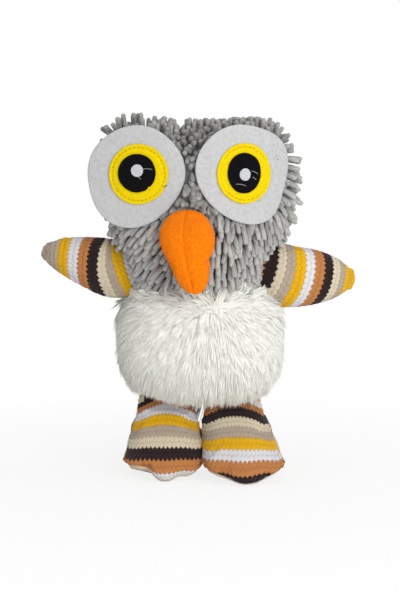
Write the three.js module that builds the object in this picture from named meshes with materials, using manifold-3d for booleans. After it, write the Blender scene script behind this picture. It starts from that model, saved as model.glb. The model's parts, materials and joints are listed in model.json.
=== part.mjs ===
// Plush owl standing on the flat soles of its feet. Millimetres, +Z up, facing -Y.
// Left and right are the viewer's: left is -X. Every soft piece is a sewn skin round a filling.
import * as THREE from 'three';
import { mergeVertices } from 'three/addons/utils/BufferGeometryUtils.js';
import Module from 'manifold-3d';

const wasm = await Module();
wasm.setup();

// Clearances and overruns that all pieces share
const clearance = 0.3; // between pieces that touch
const overrun = 8; // how far a cutter runs past what it cuts
const soleTrim = 0.5; // how deep the soles are pressed flat by the floor

// Torso: one stuffed lump, drawn in at the waist seam where its two cloths meet
const bellyBottom = 70;
const waistHeight = 163;
const headTop = 311;
const bellyHalfWidth = 74;
const bellyHalfDepth = 60;
const waistHalfWidth = 60;
const waistHalfDepth = 47;
const headHalfWidth = 84;
const headHalfDepth = 54;
const bellyShift = 2.5; // sideways place of the belly's middle
const headShift = -2.5; // sideways place of the crown's middle
const earRise = 12; // how far the crown's two corners would stand up at full width
const chenilleThickness = 8; // cloth with its pile
const furThickness = 10;

// Rows of the torso between its poles: shares of the height, half-width and half-depth
const bellyRowShares = [
  [0.02, 0.5, 0.45],
  [0.12, 0.8, 0.76],
  [0.32, 0.97, 0.95],
  [0.55, 1, 1],
  [0.8, 0.97, 0.96],
  [0.94, 0.89, 0.88],
];
const headRowShares = [
  [0.15, 0.745, 0.92],
  [0.33, 0.87, 0.97],
  [0.52, 0.96, 1],
  [0.7, 1, 0.98],
  [0.83, 0.97, 0.88],
  [0.93, 0.86, 0.68],
  [0.985, 0.6, 0.4],
];
const earStartShare = 0.7; // share of the head's height where its corners begin to rise
const torsoSquareness = 2.4; // exponent of the torso's sections; 2 is an ellipse
const torsoPoints = 26;

// Wings: knitted cones sewn into the chest's side seams
const wingLength = 77.8; // hinge line to tip
const wingHalfHeight = 28.5;
const wingHalfDepth = 19;
const wingRootHalfHeight = 15;
const wingRootRadius = 8; // the pinched root, rounded about its hinge line
const wingSink = 3; // how deep the root sits in the pile
const wingLean = THREE.MathUtils.degToRad(10); // of the side seam, outwards at its top
const leftWingHeight = 181;
const rightWingHeight = 178;
const leftWingRise = THREE.MathUtils.degToRad(14); // of its axis over the horizontal
const rightWingRise = THREE.MathUtils.degToRad(-4);
const wingSweep = THREE.MathUtils.degToRad(13); // backwards at rest
const wingTurnShare = 0.3; // share of the length over which the sections turn square to the axis
const wingRowShares = [
  [0.965, 0.28, 0.28],
  [0.87, 0.52, 0.52],
  [0.72, 0.73, 0.76],
  [0.5, 0.91, 0.96],
  [0.28, 1, 1],
  [0.11, 0.93, 0.76],
];
const wingSquareness = 2.1;
const wingPoints = 16;
const knitThickness = 1.5;

// Legs: striped boots with three toes, each a front panel and a back panel round a filling
const hipHeight = 64;
const hipHalfWidth = 25;
const hipRadius = 10;
const footHalfWidth = 34;
const heelReach = 30; // long enough behind the hip for the toy to stand
const leftToeReach = 62;
const rightToeReach = 74;
const footGap = 1; // between the two feet
const footGapX = 4.4;
const leftToeShift = -2.2; // sideways place of the toes from the hip's middle
const rightToeShift = 7.7;
const toeLift = 8; // how far the outer toes rise over the middle one
const seamHeight = 4; // height of the side seam where it rounds the middle toe
const bulgeShare = 0.88; // how far forward of the hip the widest line lies, against the seam
const rimShare = 0.9; // share of the seam's run at which the widest line reaches the foot's rim
// Rows of a leg from the sole up: shares of hip height, half-width, toe reach, heel reach, toe shape
const legRowShares = [
  [0, 0.8, 0.88, 0.6, 1],
  [0.025, 0.93, 0.96, 0.83, 1],
  [0.1, 0.99, 1, 0.95, 1],
  [0.21, 1, 0.93, 1, 0.8],
  [0.38, 0.98, 0.78, 0.98, 0.45],
  [0.6, 0.9, 0.55, 0.88, 0.15],
  [0.82, 0.8, 0.33, 0.74, 0],
];
const toeFallShare = 0.11; // how much shorter the outer toes are
const toeNotchShare = 0.04; // how deep the dips between the toes are
const toeStartShare = 0.25;
const toeEndShare = 0.6;
const toeCount = 3;
const ankleShare = 0.38; // share of the hip height over which the toe lift fades out
const soleMiddleShare = 0.35; // of the toe reach, where the sole's facets meet
const legSquareness = 2.8;
const legPoints = 24;

// Beak: a stuffed teardrop of two panels, sewn on at its top and hanging free below
const beakShares = [-0.1012, 0.4595]; // hinge's place on the head: of its half-width and height
const beakLength = 64.5; // hinge line to tip
const beakHalfWidth = 23.3;
const beakHalfDepth = 16.5;
const beakRootHalfWidth = 16;
const beakRootRadius = 7;
const beakReach = 20; // how far the tip stands in front of the hinge line
const beakTipShift = 7; // how far the tip swings to the right
const beakThickness = 1.6;
// Rows of the beak from the tip up: shares of length, half-width, reach and half-depth
const beakRowShares = [
  [0.965, 0.28, 0.97, 0.2],
  [0.86, 0.5, 0.92, 0.42],
  [0.73, 0.665, 0.8, 0.66],
  [0.58, 0.8, 0.66, 0.86],
  [0.42, 0.94, 0.54, 1],
  [0.27, 1, 0.4, 0.92],
  [0.1, 0.87, 0.18, 0.66],
];
const beakSquareness = 2;
const beakPoints = 16;

// Eyes: four felt discs each, laid on one another and bent round the head together
const eyeDiscRadius = 44;
const eyeDiscThickness = 2;
const eyeRingRadius = 26;
const eyeRingThickness = 1.6;
const pupilRadius = 16.5;
const pupilThickness = 1.4;
const eyeDotRadius = 5.5;
const eyeDotThickness = 1;
const eyePress = 2.2; // how deep a disc's middle presses into the pile
const leftEyeTurn = THREE.MathUtils.degToRad(-10);
const leftEyeBend = 400; // radius of the disc's bend
const rightEyeTurn = THREE.MathUtils.degToRad(22);
const rightEyeBend = 120;
const eyePoints = 32;
// Places of the eyes on the head, as shares of its half-width and height over the waist
const leftEyePlaceShares = [-0.632, 0.693];
const rightEyePlaceShares = [0.494, 0.703];
// Places of the three upper discs, right and up from the middle, as shares of the disc's radius
const leftEyeShares = { ring: [0.058, 0.05], pupil: [0.037, 0.07], dot: [0.05, 0.12] };
const rightEyeShares = { ring: [-0.036, 0.03], pupil: [-0.061, 0.04], dot: [-0.065, 0.01] };

// Steps of the quarter turn over a limb's rounded top
const topSteps = 3;

// A point of a superellipse of radius 1 in the given direction
function squaredCircle(angle, exponent) {
  const across = Math.cos(angle);
  const along = Math.sin(angle);
  const size = (Math.abs(across) ** exponent + Math.abs(along) ** exponent) ** (1 / exponent);
  return new THREE.Vector2(across / size, along / size);
}

// Directions spread evenly round a full turn, a whole number of them
function turn(count) {
  const steps = Math.round(count);
  return Array.from({ length: steps }, (_, step) => (step / steps) * 2 * Math.PI);
}

// Joins vertices that lie together and drops the triangles that have shrunk to a line
function welded(geometry) {
  geometry.deleteAttribute('normal');
  geometry.deleteAttribute('uv');
  const merged = mergeVertices(geometry);
  const old = merged.index.array;
  const kept = [];
  for (let corner = 0; corner < old.length; corner += 3) {
    const [a, b, c] = old.slice(corner, corner + 3);
    if (a !== b && b !== c && c !== a) kept.push(a, b, c);
  }
  merged.setIndex(kept);
  return merged;
}

// A closed surface through rings of points, from a first ring to a last that have both shrunk shut
function surfaceThrough(rings) {
  const across = rings[0].length;
  const index = [];
  for (let ring = 0; ring < rings.length - 1; ring++) {
    for (let point = 0; point < across; point++) {
      const here = ring * across + point;
      const next = ring * across + ((point + 1) % across);
      index.push(here, next, next + across, here, next + across, here + across);
    }
  }
  const geometry = new THREE.BufferGeometry().setFromPoints(rings.flat());
  geometry.setIndex(index);
  return welded(geometry);
}

// The same surface moved inwards by a distance
function inset(geometry, distance) {
  const moved = geometry.clone();
  moved.computeVertexNormals();
  const places = moved.attributes.position;
  const normals = moved.attributes.normal;
  const place = new THREE.Vector3();
  const normal = new THREE.Vector3();
  for (let vertex = 0; vertex < places.count; vertex++) {
    place.fromBufferAttribute(places, vertex);
    normal.fromBufferAttribute(normals, vertex);
    place.addScaledVector(normal, -distance);
    places.setXYZ(vertex, place.x, place.y, place.z);
  }
  moved.deleteAttribute('normal');
  return moved;
}

function solidOf(geometry) {
  return new wasm.Manifold(
    new wasm.Mesh({
      numProp: 3,
      vertProperties: new Float32Array(geometry.attributes.position.array),
      triVerts: new Uint32Array(geometry.index.array),
    }),
  );
}

function geometryOf(solid) {
  const mesh = solid.getMesh();
  const geometry = new THREE.BufferGeometry();
  geometry.setAttribute('position', new THREE.BufferAttribute(mesh.vertProperties, 3));
  geometry.setIndex(new THREE.BufferAttribute(mesh.triVerts, 1));
  return geometry;
}

// A solid box between two corners
function boxBetween(low, high) {
  const size = high.clone().sub(low);
  const middle = high.clone().add(low).multiplyScalar(0.5);
  const box = new THREE.BoxGeometry(size.x, size.y, size.z);
  return solidOf(welded(box.translate(middle.x, middle.y, middle.z)));
}

// A skin of one thickness under a surface
function skinOf(form, thickness) {
  return solidOf(form).subtract(solidOf(inset(form, thickness)));
}

const palette = {
  chenille: { color: '#7b7a77', roughness: 0.95 },
  fur: { color: '#ecece2', roughness: 0.9 },
  filling: { color: '#f2f0ea', roughness: 1 },
  knit: { color: '#c5b89d', roughness: 0.95 },
  plush: { color: '#f07806', roughness: 0.9 },
  felt: { color: '#cdced0', roughness: 0.95 },
  yellowFelt: { color: '#dcc006', roughness: 0.95 },
  blackFelt: { color: '#0b0a0f', roughness: 0.9 },
  greyFelt: { color: '#a0a0a3', roughness: 0.9 },
};

function piece(name, geometry, finish) {
  const shaded = geometry.clone();
  shaded.computeVertexNormals();
  const material = new THREE.MeshStandardMaterial({ ...palette[finish], metalness: 0 });
  const mesh = new THREE.Mesh(shaded, material);
  mesh.name = name;
  return mesh;
}

// Rows of the torso from its lower pole to its upper one: x half-width, y half-depth, z height
function torsoRows() {
  const bellyHeight = waistHeight - bellyBottom;
  const headHeight = headTop - waistHeight;
  const belly = bellyRowShares.map(([up, wide, deep]) => (
    new THREE.Vector3(wide * bellyHalfWidth, deep * bellyHalfDepth, bellyBottom + up * bellyHeight)
  ));
  const head = headRowShares.map(([up, wide, deep]) => (
    new THREE.Vector3(wide * headHalfWidth, deep * headHalfDepth, waistHeight + up * headHeight)
  ));
  return [
    new THREE.Vector3(0, 0, bellyBottom),
    ...belly,
    new THREE.Vector3(waistHalfWidth, waistHalfDepth, waistHeight),
    ...head,
    new THREE.Vector3(0, 0, headTop),
  ];
}

// The torso's row at any height
function torsoAt(height) {
  const rows = torsoRows();
  const above = Math.max(1, rows.findIndex((row) => row.z >= height));
  const below = rows[above - 1];
  return below.clone().lerp(rows[above], (height - below.z) / (rows[above].z - below.z));
}

// Sideways place of the torso's middle at any height
function torsoMiddle(height) {
  const up = THREE.MathUtils.smoothstep(height, bellyBottom, headTop);
  return THREE.MathUtils.lerp(bellyShift, headShift, up);
}

// Place on the head's front: x, how far the torso's surface stands in front of its middle, and height
function facePlace([acrossShare, upShare]) {
  const x = acrossShare * headHalfWidth;
  const height = THREE.MathUtils.lerp(waistHeight, headTop, upShare);
  const row = torsoAt(height);
  const sideShare = Math.abs(x - torsoMiddle(height)) / row.x;
  const front = row.y * (1 - sideShare ** torsoSquareness) ** (1 / torsoSquareness);
  return new THREE.Vector3(x, -front, height);
}

function torsoForm() {
  const earStart = THREE.MathUtils.lerp(waistHeight, headTop, earStartShare);
  const rings = torsoRows().map((row) => {
    const rise = earRise * THREE.MathUtils.smoothstep(row.z, earStart, headTop);
    return turn(torsoPoints).map((angle) => {
      const edge = squaredCircle(angle, torsoSquareness);
      const wide = row.x / headHalfWidth;
      return new THREE.Vector3(
        torsoMiddle(row.z) + row.x * edge.x,
        row.y * edge.y,
        row.z + rise * (wide * edge.x) ** 2,
      );
    });
  });
  return surfaceThrough(rings);
}

// Rings of a limb that hangs below its hinge line, the X axis, closed by a rounded top about that line
function limbForm(tipRings, hingeRing) {
  const top = [];
  const steps = Math.round(topSteps);
  for (let step = 1; step <= steps; step++) {
    const angle = (step / steps) * (Math.PI / 2);
    top.push(hingeRing.map((point) => new THREE.Vector3(
      point.x,
      point.y * Math.cos(angle),
      Math.abs(point.y) * Math.sin(angle),
    )));
  }
  return surfaceThrough([...tipRings, hingeRing, ...top]);
}

// Ring of a limb at one drop below its hinge line, turned by a tilt about the depth direction
function limbRing(points, squareness, drop, middle, halfSize, tilt = 0) {
  return turn(points).map((angle) => {
    const edge = squaredCircle(angle, squareness);
    return new THREE.Vector3(
      middle.x + halfSize.x * edge.x * Math.cos(tilt),
      middle.y + halfSize.y * edge.y,
      halfSize.x * edge.x * Math.sin(tilt) - drop,
    );
  });
}

// A cylinder along X that clears a limb's rounded top
function hingeSeat(halfLength, radius) {
  const length = 2 * (halfLength + clearance);
  const barrel = new THREE.CylinderGeometry(radius + clearance, radius + clearance, length, torsoPoints);
  return welded(barrel.rotateZ(Math.PI / 2));
}

// Wing hanging from its hinge line: its height runs along X and its axis rises from -Z by an angle
function wingForm(rise) {
  const rows = [[1, 0, 0], ...wingRowShares];
  const rings = rows.map(([long, high, deep]) => limbRing(
    wingPoints,
    wingSquareness,
    long * wingLength * Math.cos(rise),
    new THREE.Vector2(long * wingLength * Math.sin(rise), 0),
    new THREE.Vector2(high * wingHalfHeight, deep * wingHalfDepth),
    rise * THREE.MathUtils.smoothstep(long, 0, wingTurnShare),
  ));
  const root = new THREE.Vector2(wingRootHalfHeight, wingRootRadius);
  return limbForm(rings, limbRing(wingPoints, wingSquareness, 0, new THREE.Vector2(), root));
}

// A wing's hinge: a group at the side seam whose X axis is the hinge line
function wingHinge(side, height) {
  const line = new THREE.Vector3(side * Math.sin(wingLean), 0, Math.cos(wingLean));
  const outwards = new THREE.Vector3(side * Math.cos(wingLean), 0, -Math.sin(wingLean));
  const seam = new THREE.Vector3(torsoMiddle(height) + side * torsoAt(height).x, 0, height);
  const hinge = new THREE.Group();
  hinge.position.copy(seam).addScaledVector(outwards, wingRootRadius + clearance - wingSink);
  const length = outwards.clone().applyAxisAngle(line, side * wingSweep).negate();
  const depth = length.clone().cross(line);
  hinge.setRotationFromMatrix(new THREE.Matrix4().makeBasis(line, depth, length));
  return hinge;
}

function buildWing(name, { hinge, form }) {
  const skin = skinOf(form, knitThickness);
  // The root is left open between the stitches that hold it to the chest
  const mouth = boxBetween(
    new THREE.Vector3(-wingRootHalfHeight / 2, -knitThickness, 0),
    new THREE.Vector3(wingRootHalfHeight / 2, knitThickness, wingRootRadius + overrun),
  );
  hinge.add(
    piece(`${name}_skin`, geometryOf(skin.subtract(mouth)), 'knit'),
    piece(`${name}_filling`, inset(form, knitThickness + clearance), 'filling'),
  );
}

// Plan of the toe edge: 1 at the middle toe, less at the outer ones and in the dips between them
function toePlan(across, shapeShare) {
  const outer = THREE.MathUtils.smoothstep(Math.abs(across), toeStartShare, toeEndShare);
  const dip = 1 - Math.abs(Math.cos((toeCount / 2) * Math.PI * across));
  return 1 - shapeShare * (toeFallShare * outer + toeNotchShare * dip);
}

// Ring of a leg: its front half bulges before its widest line and its back half runs to the heel
function legRing(row) {
  return turn(legPoints).map((angle) => {
    const edge = squaredCircle(angle, legSquareness);
    const forward = Math.max(0, -edge.y);
    const outer = THREE.MathUtils.smoothstep(Math.abs(edge.x), toeStartShare, toeEndShare);
    const low = Math.max(0, 1 - row.up / (ankleShare * hipHeight));
    const front = THREE.MathUtils.lerp(row.bulge, row.front, forward) * toePlan(edge.x, row.shapeShare);
    const side = row.bulge * toePlan(1, row.shapeShare);
    return new THREE.Vector3(
      row.middle + row.halfWidth * edge.x,
      edge.y > 0 ? THREE.MathUtils.lerp(-side, row.back, edge.y) : -front,
      row.up - hipHeight + toeLift * outer * forward * low * row.shapeShare,
    );
  });
}

function legForm(toeReach, toeShift) {
  const rows = legRowShares.map(([up, wide, front, back, shapeShare]) => ({
    up: up * hipHeight - (up === 0 ? soleTrim : 0),
    halfWidth: wide * footHalfWidth,
    bulge: bulgeShare * Math.min(1 - up, rimShare) * toeReach,
    front: front * toeReach,
    back: back * heelReach,
    shapeShare,
    middle: toeShift * Math.min(1, (1 - up) / (1 - ankleShare)),
  }));
  const sole = soleMiddleShare * toeReach;
  const soleMiddle = { ...rows[0], halfWidth: 0, bulge: sole, front: sole, back: -sole, shapeShare: 0 };
  const hip = {
    up: hipHeight,
    halfWidth: hipHalfWidth,
    bulge: 0,
    front: hipRadius,
    back: hipRadius,
    shapeShare: 0,
    middle: 0,
  };
  return limbForm([soleMiddle, ...rows].map(legRing), legRing(hip));
}

// Everything on one side of the plane through the hinge line and the seam round the middle toe
function seamSide(toeReach, side) {
  const wide = 2 * (footHalfWidth + overrun);
  const long = 2 * (hipHeight + toeReach + overrun);
  const box = new THREE.BoxGeometry(wide, long, long);
  box.translate(0, 0, side * (long / 2 + clearance / 2));
  box.rotateX(Math.atan2(hipHeight - seamHeight, toeReach));
  return solidOf(welded(box));
}

function buildLeg(name, side, toeReach, toeShift) {
  const form = legForm(toeReach, toeShift);
  const reach = new THREE.Vector3(footHalfWidth + overrun, toeReach + overrun, hipRadius + overrun)
    .add(new THREE.Vector3(Math.abs(toeShift), 0, 0));
  const floor = new THREE.Vector3(-reach.x, -reach.y, -hipHeight);
  const aboveFloor = boxBetween(floor, reach);
  const skin = skinOf(form, knitThickness).intersect(aboveFloor);
  const hinge = new THREE.Group();
  hinge.position.set(footGapX + side * (footGap / 2 + footHalfWidth) - toeShift, 0, hipHeight);
  hinge.add(
    piece(`${name}_front_panel`, geometryOf(skin.intersect(seamSide(toeReach, 1))), 'knit'),
    piece(`${name}_back_panel`, geometryOf(skin.intersect(seamSide(toeReach, -1))), 'knit'),
    piece(`${name}_filling`, inset(form, knitThickness + clearance), 'filling'),
  );
  return hinge;
}

function beakForm() {
  const middle = (long, reach) => new THREE.Vector2(beakTipShift * long ** 2, -reach * beakReach);
  const rings = beakRowShares.map(([long, wide, reach, deep]) => limbRing(
    beakPoints,
    beakSquareness,
    long * beakLength,
    middle(long, reach),
    new THREE.Vector2(wide * beakHalfWidth, deep * beakHalfDepth),
  ));
  const tip = limbRing(beakPoints, beakSquareness, beakLength, middle(1, 1), new THREE.Vector2());
  const root = new THREE.Vector2(beakRootHalfWidth, beakRootRadius);
  return limbForm([tip, ...rings], limbRing(beakPoints, beakSquareness, 0, middle(0, 0), root));
}

function buildBeak() {
  const form = beakForm();
  const skin = skinOf(form, beakThickness);
  const far = new THREE.Vector3(beakHalfWidth, beakReach + beakHalfDepth, beakRootRadius)
    .addScalar(beakTipShift + overrun);
  const lowLeft = new THREE.Vector3(-far.x, -far.y, -beakLength - overrun);
  const middleSeam = clearance / 2;
  // The seam runs straight down the middle and leans over to the tip with the beak
  const leftSide = boxBetween(lowLeft, new THREE.Vector3(-middleSeam, far.y, far.z));
  const rightSide = boxBetween(new THREE.Vector3(middleSeam, lowLeft.y, lowLeft.z), far);
  const lean = new THREE.Matrix4().makeShear(0, 0, 0, 0, 0, 0);
  lean.elements[8] = -beakTipShift / beakLength;
  const leaning = (solid) => solid.transform(lean.elements);
  const hinge = new THREE.Group();
  hinge.position.copy(facePlace(beakShares));
  hinge.position.y -= clearance + beakRootRadius;
  hinge.add(
    piece('beak_left_panel', geometryOf(skin.intersect(leaning(leftSide))), 'plush'),
    piece('beak_right_panel', geometryOf(skin.intersect(leaning(rightSide))), 'plush'),
    piece('beak_filling', inset(form, beakThickness + clearance), 'filling'),
  );
  return hinge;
}

// A disc bent round an upright cylinder, between two distances in front of the bend
function bentDisc(radius, bend, back, front, middle = new THREE.Vector2()) {
  const ring = (share, lift) => turn(eyePoints).map((angle) => {
    const right = middle.x + share * radius * Math.cos(angle);
    const up = middle.y + share * radius * Math.sin(angle);
    const round = right / bend;
    return new THREE.Vector3(
      (bend + lift) * Math.sin(round),
      bend - (bend + lift) * Math.cos(round),
      up,
    );
  });
  return surfaceThrough([
    ring(0, back),
    ring(0.5, back),
    ring(1, back),
    ring(1, front),
    ring(0.5, front),
    ring(0, front),
  ]);
}

function eyePlace(placeShares, eyeTurn) {
  const eye = new THREE.Group();
  eye.position.copy(facePlace(placeShares));
  eye.position.y += eyePress;
  eye.rotation.z = eyeTurn;
  return eye;
}

function buildEye(name, eye, bend, shares) {
  const place = (share) => new THREE.Vector2(...share).multiplyScalar(eyeDiscRadius);
  let back = 0;
  const layer = (part, radius, thickness, share, finish) => {
    const disc = bentDisc(radius, bend, back, back + thickness, place(share));
    eye.add(piece(`${name}_${part}`, disc, finish));
    back += thickness + clearance;
  };
  layer('felt_disc', eyeDiscRadius, eyeDiscThickness, [0, 0], 'felt');
  layer('yellow_disc', eyeRingRadius, eyeRingThickness, shares.ring, 'yellowFelt');
  layer('black_pupil', pupilRadius, pupilThickness, shares.pupil, 'blackFelt');
  layer('pale_dot', eyeDotRadius, eyeDotThickness, shares.dot, 'greyFelt');
}

// The room that a bent disc needs in the pile, from just behind it to well in front
function eyeSeat(eye, bend) {
  const room = bentDisc(eyeDiscRadius + clearance, bend, -clearance, chenilleThickness + overrun);
  return solidOf(room.applyMatrix4(eye.matrix));
}

function placed(geometry, group) {
  group.updateMatrix();
  return solidOf(geometry.clone().applyMatrix4(group.matrix));
}

const legs = [
  buildLeg('left_leg', -1, leftToeReach, leftToeShift),
  buildLeg('right_leg', 1, rightToeReach, rightToeShift),
];
const wings = [
  { hinge: wingHinge(-1, leftWingHeight), form: wingForm(wingLean + leftWingRise) },
  { hinge: wingHinge(1, rightWingHeight), form: wingForm(wingLean + rightWingRise) },
];
const leftEye = eyePlace(leftEyePlaceShares, leftEyeTurn);
const rightEye = eyePlace(rightEyePlaceShares, rightEyeTurn);
[leftEye, rightEye].forEach((eye) => eye.updateMatrix());

// The torso's skin, parted at the waist and pressed in where eyes, wings and legs seat
function buildTorso() {
  const form = torsoForm();
  const far = new THREE.Vector3(headHalfWidth, headHalfWidth, headTop).multiplyScalar(2);
  const overWaist = boxBetween(new THREE.Vector3(-far.x, -far.y, waistHeight + clearance / 2), far);
  const underWaist = boxBetween(
    new THREE.Vector3(-far.x, -far.y, -far.z),
    new THREE.Vector3(far.x, far.y, waistHeight - clearance / 2),
  );
  const wingSeat = hingeSeat(wingRootHalfHeight, wingRootRadius);
  const legSeat = hingeSeat(hipHalfWidth, hipRadius);
  let head = skinOf(form, chenilleThickness).intersect(overWaist);
  wings.forEach((wing) => {
    head = head.subtract(placed(wingSeat, wing.hinge));
  });
  head = head.subtract(eyeSeat(leftEye, leftEyeBend)).subtract(eyeSeat(rightEye, rightEyeBend));
  let belly = skinOf(form, furThickness).intersect(underWaist);
  legs.forEach((hinge) => {
    belly = belly.subtract(placed(legSeat, hinge));
  });
  // Where a wing would lie against the fur, it presses its own room into it
  wings.forEach((wing) => {
    belly = belly.subtract(placed(inset(wing.form, -clearance), wing.hinge));
  });
  const filling = inset(form, Math.max(chenilleThickness, furThickness) + clearance);
  return [
    piece('head_and_chest_skin', geometryOf(head), 'chenille'),
    piece('belly_fur_skin', geometryOf(belly), 'fur'),
    piece('body_filling', filling, 'filling'),
  ];
}

buildWing('left_wing', wings[0]);
buildWing('right_wing', wings[1]);
buildEye('left_eye', leftEye, leftEyeBend, leftEyeShares);
buildEye('right_eye', rightEye, rightEyeBend, rightEyeShares);

const body = new THREE.Group();
const wingHinges = wings.map((wing) => wing.hinge);
body.add(...buildTorso(), leftEye, rightEye, buildBeak(), ...wingHinges, ...legs);

// The owl stands with the middle of its outline on the origin
const outline = new THREE.Box3().setFromObject(body, true);
const middle = outline.getCenter(new THREE.Vector3());
body.position.set(-middle.x, -middle.y, 0);

const owl = new THREE.Group();
owl.add(body);

export default owl;
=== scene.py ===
# %% [markdown]
# # A plush owl, dressed around its frame
# The imported model is the frame: it says where each piece of the owl sits and what it moves with.
# Everything made below is soft: cloth, pile, fur and felt. Each piece replaces the plain solid of
# the same part and stays in its place. The frame is loaded first.

# %% Load the frame
import json

import bmesh
import bpy
import numpy as np
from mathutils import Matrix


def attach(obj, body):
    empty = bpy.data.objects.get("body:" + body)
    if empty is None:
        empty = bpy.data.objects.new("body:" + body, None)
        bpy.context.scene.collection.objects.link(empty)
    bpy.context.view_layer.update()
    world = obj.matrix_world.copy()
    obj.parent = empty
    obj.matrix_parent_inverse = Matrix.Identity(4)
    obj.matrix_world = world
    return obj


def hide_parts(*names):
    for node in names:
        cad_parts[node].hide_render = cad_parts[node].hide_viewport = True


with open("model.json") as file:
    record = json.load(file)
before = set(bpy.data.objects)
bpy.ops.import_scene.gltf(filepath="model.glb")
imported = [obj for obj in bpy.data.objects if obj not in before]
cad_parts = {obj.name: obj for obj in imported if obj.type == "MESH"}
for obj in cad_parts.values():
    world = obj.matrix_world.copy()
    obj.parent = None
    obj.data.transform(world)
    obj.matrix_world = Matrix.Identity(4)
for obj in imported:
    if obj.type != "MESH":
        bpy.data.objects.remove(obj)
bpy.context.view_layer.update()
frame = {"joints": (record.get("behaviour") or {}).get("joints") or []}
joints = {joint["name"]: joint for joint in frame["joints"]}


def joint_place(name):
    """A joint's place in millimetres."""
    return 1000 * np.array(joints[name]["pos_m"])



# %% [markdown]
# Shapes are worked out in millimetres on the owl's own axes: x to the viewer's right, z up and
# the face towards -y. The left hip tells how far the frame's axes lie from the body's middle. A
# person who learns this can reuse the trick: take places from the frame, never type them twice.

# %% Where the body's middle stands
hip_from_middle = -27.9
hip_place = joint_place("left_leg_swing")
body_middle = np.array([hip_place[0] - hip_from_middle, hip_place[1], 0.0])
random = np.random.default_rng(7)
print("body middle at", body_middle.round(3), "mm")


# %% [markdown]
# ## Camera, floor and light
# The owl was looked at from a little above, so the camera stands 5 degrees over the horizon and
# 1.4 m away, far enough that the feet aren't swollen by perspective. The lamps are large and soft
# and stand in front, because the real light leaves hardly a shadow behind the owl.

# %% Camera
view_rise = np.radians(5.0)
view_distance = 1.4
aim_right, aim_high = 2.25, 154.6
aim = np.array([body_middle[0] + aim_right, body_middle[1], aim_high]) / 1000
camera = bpy.data.objects.new("camera", bpy.data.cameras.new("camera"))
bpy.context.scene.collection.objects.link(camera)
camera.location = aim + view_distance * np.array([0, -np.cos(view_rise), np.sin(view_rise)])
camera.rotation_euler = (np.pi / 2 - view_rise, 0, 0)
camera.data.lens = 93.33
bpy.context.scene.camera = camera
bpy.context.scene.view_settings.view_transform = "Standard"
print("camera at", [round(value, 3) for value in camera.location])

# %% [markdown]
# Colours are written as hex values the way a paint chart gives them, and one function turns them
# to the linear numbers that a shader needs. One more function adds a node with its settings and
# links, so that a material reads as a short list.

# %% Colour and node helpers


def colour(code):
    """Linear RGBA of an sRGB hex value: each share is divided by 12.92 where it is small, else
    raised to 2.4 after its offset of 0.055."""
    share = np.array([int(code[i : i + 2], 16) for i in (1, 3, 5)]) / 255
    linear = np.where(share <= 0.04045, share / 12.92, ((share + 0.055) / 1.055) ** 2.4)
    return (*linear.tolist(), 1.0)


def add_node(tree, kind, settings=None, links=None):
    """Adds one node. A setting that names one of the node's own options sets it, and any other
    sets the input socket of that name or number. A link joins an input to another's output."""
    node = tree.nodes.new("ShaderNode" + kind)
    for name, value in (settings or {}).items():
        if isinstance(name, str) and name in node.bl_rna.properties:
            setattr(node, name, value)
        else:
            node.inputs[name].default_value = value
    for name, source in (links or {}).items():
        tree.links.new(source, node.inputs[name])
    return node


def maths(tree, operation, *terms):
    """One step of arithmetic on plain numbers and on outputs of other nodes."""
    numbers = {place: term for place, term in enumerate(terms) if isinstance(term, float)}
    links = {place: term for place, term in enumerate(terms) if place not in numbers}
    return add_node(tree, "Math", {"operation": operation, **numbers}, links).outputs[0]


def ranged(tree, source, start, end, low, high):
    """A number from start to end carried over to low to high, and held at both ends."""
    settings = {"From Min": start, "From Max": end, "To Min": low, "To Max": high}
    return add_node(tree, "MapRange", settings, {"Value": source}).outputs[0]


def mixed_shaders(tree, share, first, second):
    """The first shader where the share is 0 and the second where it is 1."""
    links = {0: share, 1: first.outputs[0], 2: second.outputs[0]}
    return add_node(tree, "MixShader", {}, links).outputs[0]


def new_material(name):
    """An empty node material and its tree."""
    material = bpy.data.materials.new(name)
    material.use_nodes = True
    material.node_tree.nodes.clear()
    return material, material.node_tree


# %% [markdown]
# The floor is a wide pale sheet. Seen straight by the camera it is partly lit white of strength
# 1, and wholly so away from the owl, so that it melts into the white behind. Near the owl it
# still takes the soft shadow.

# %% Floor
floor_half = 3.0
pure_white = (1.0, 1.0, 1.0, 1.0)
floor_mesh = bpy.data.meshes.new("floor")
floor_corners = floor_half * np.array([(-1, -1, 0), (1, -1, 0), (1, 1, 0), (-1, 1, 0)])
floor_mesh.from_pydata(floor_corners, [], [(0, 1, 2, 3)])
floor = bpy.data.objects.new("floor", floor_mesh)
bpy.context.scene.collection.objects.link(floor)


def seen_rays(tree):
    """1 for rays that show the background itself: straight to the camera, or mirrored, or
    through glass."""
    path = add_node(tree, "LightPath").outputs
    seen = maths(tree, "MAXIMUM", path["Is Camera Ray"], path["Is Glossy Ray"])
    return maths(tree, "MAXIMUM", seen, path["Is Transmission Ray"])


paper, tree = new_material("matt_white_backdrop_paper")
place_in = add_node(tree, "TexCoord")
away = add_node(tree, "VectorMath", {"operation": "LENGTH"}, {0: place_in.outputs["Object"]})
fade = ranged(tree, away.outputs["Value"], 0.1, 0.5, 0.82, 1.0)
share = maths(tree, "MULTIPLY", seen_rays(tree), fade)
lit = add_node(tree, "BsdfDiffuse", {"Color": colour("#f6f6f6")})
glow = add_node(tree, "Emission", {"Color": pure_white, "Strength": 1.0})
add_node(tree, "OutputMaterial", {}, {"Surface": mixed_shaders(tree, share, lit, glow)})
floor_mesh.materials.append(paper)

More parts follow.
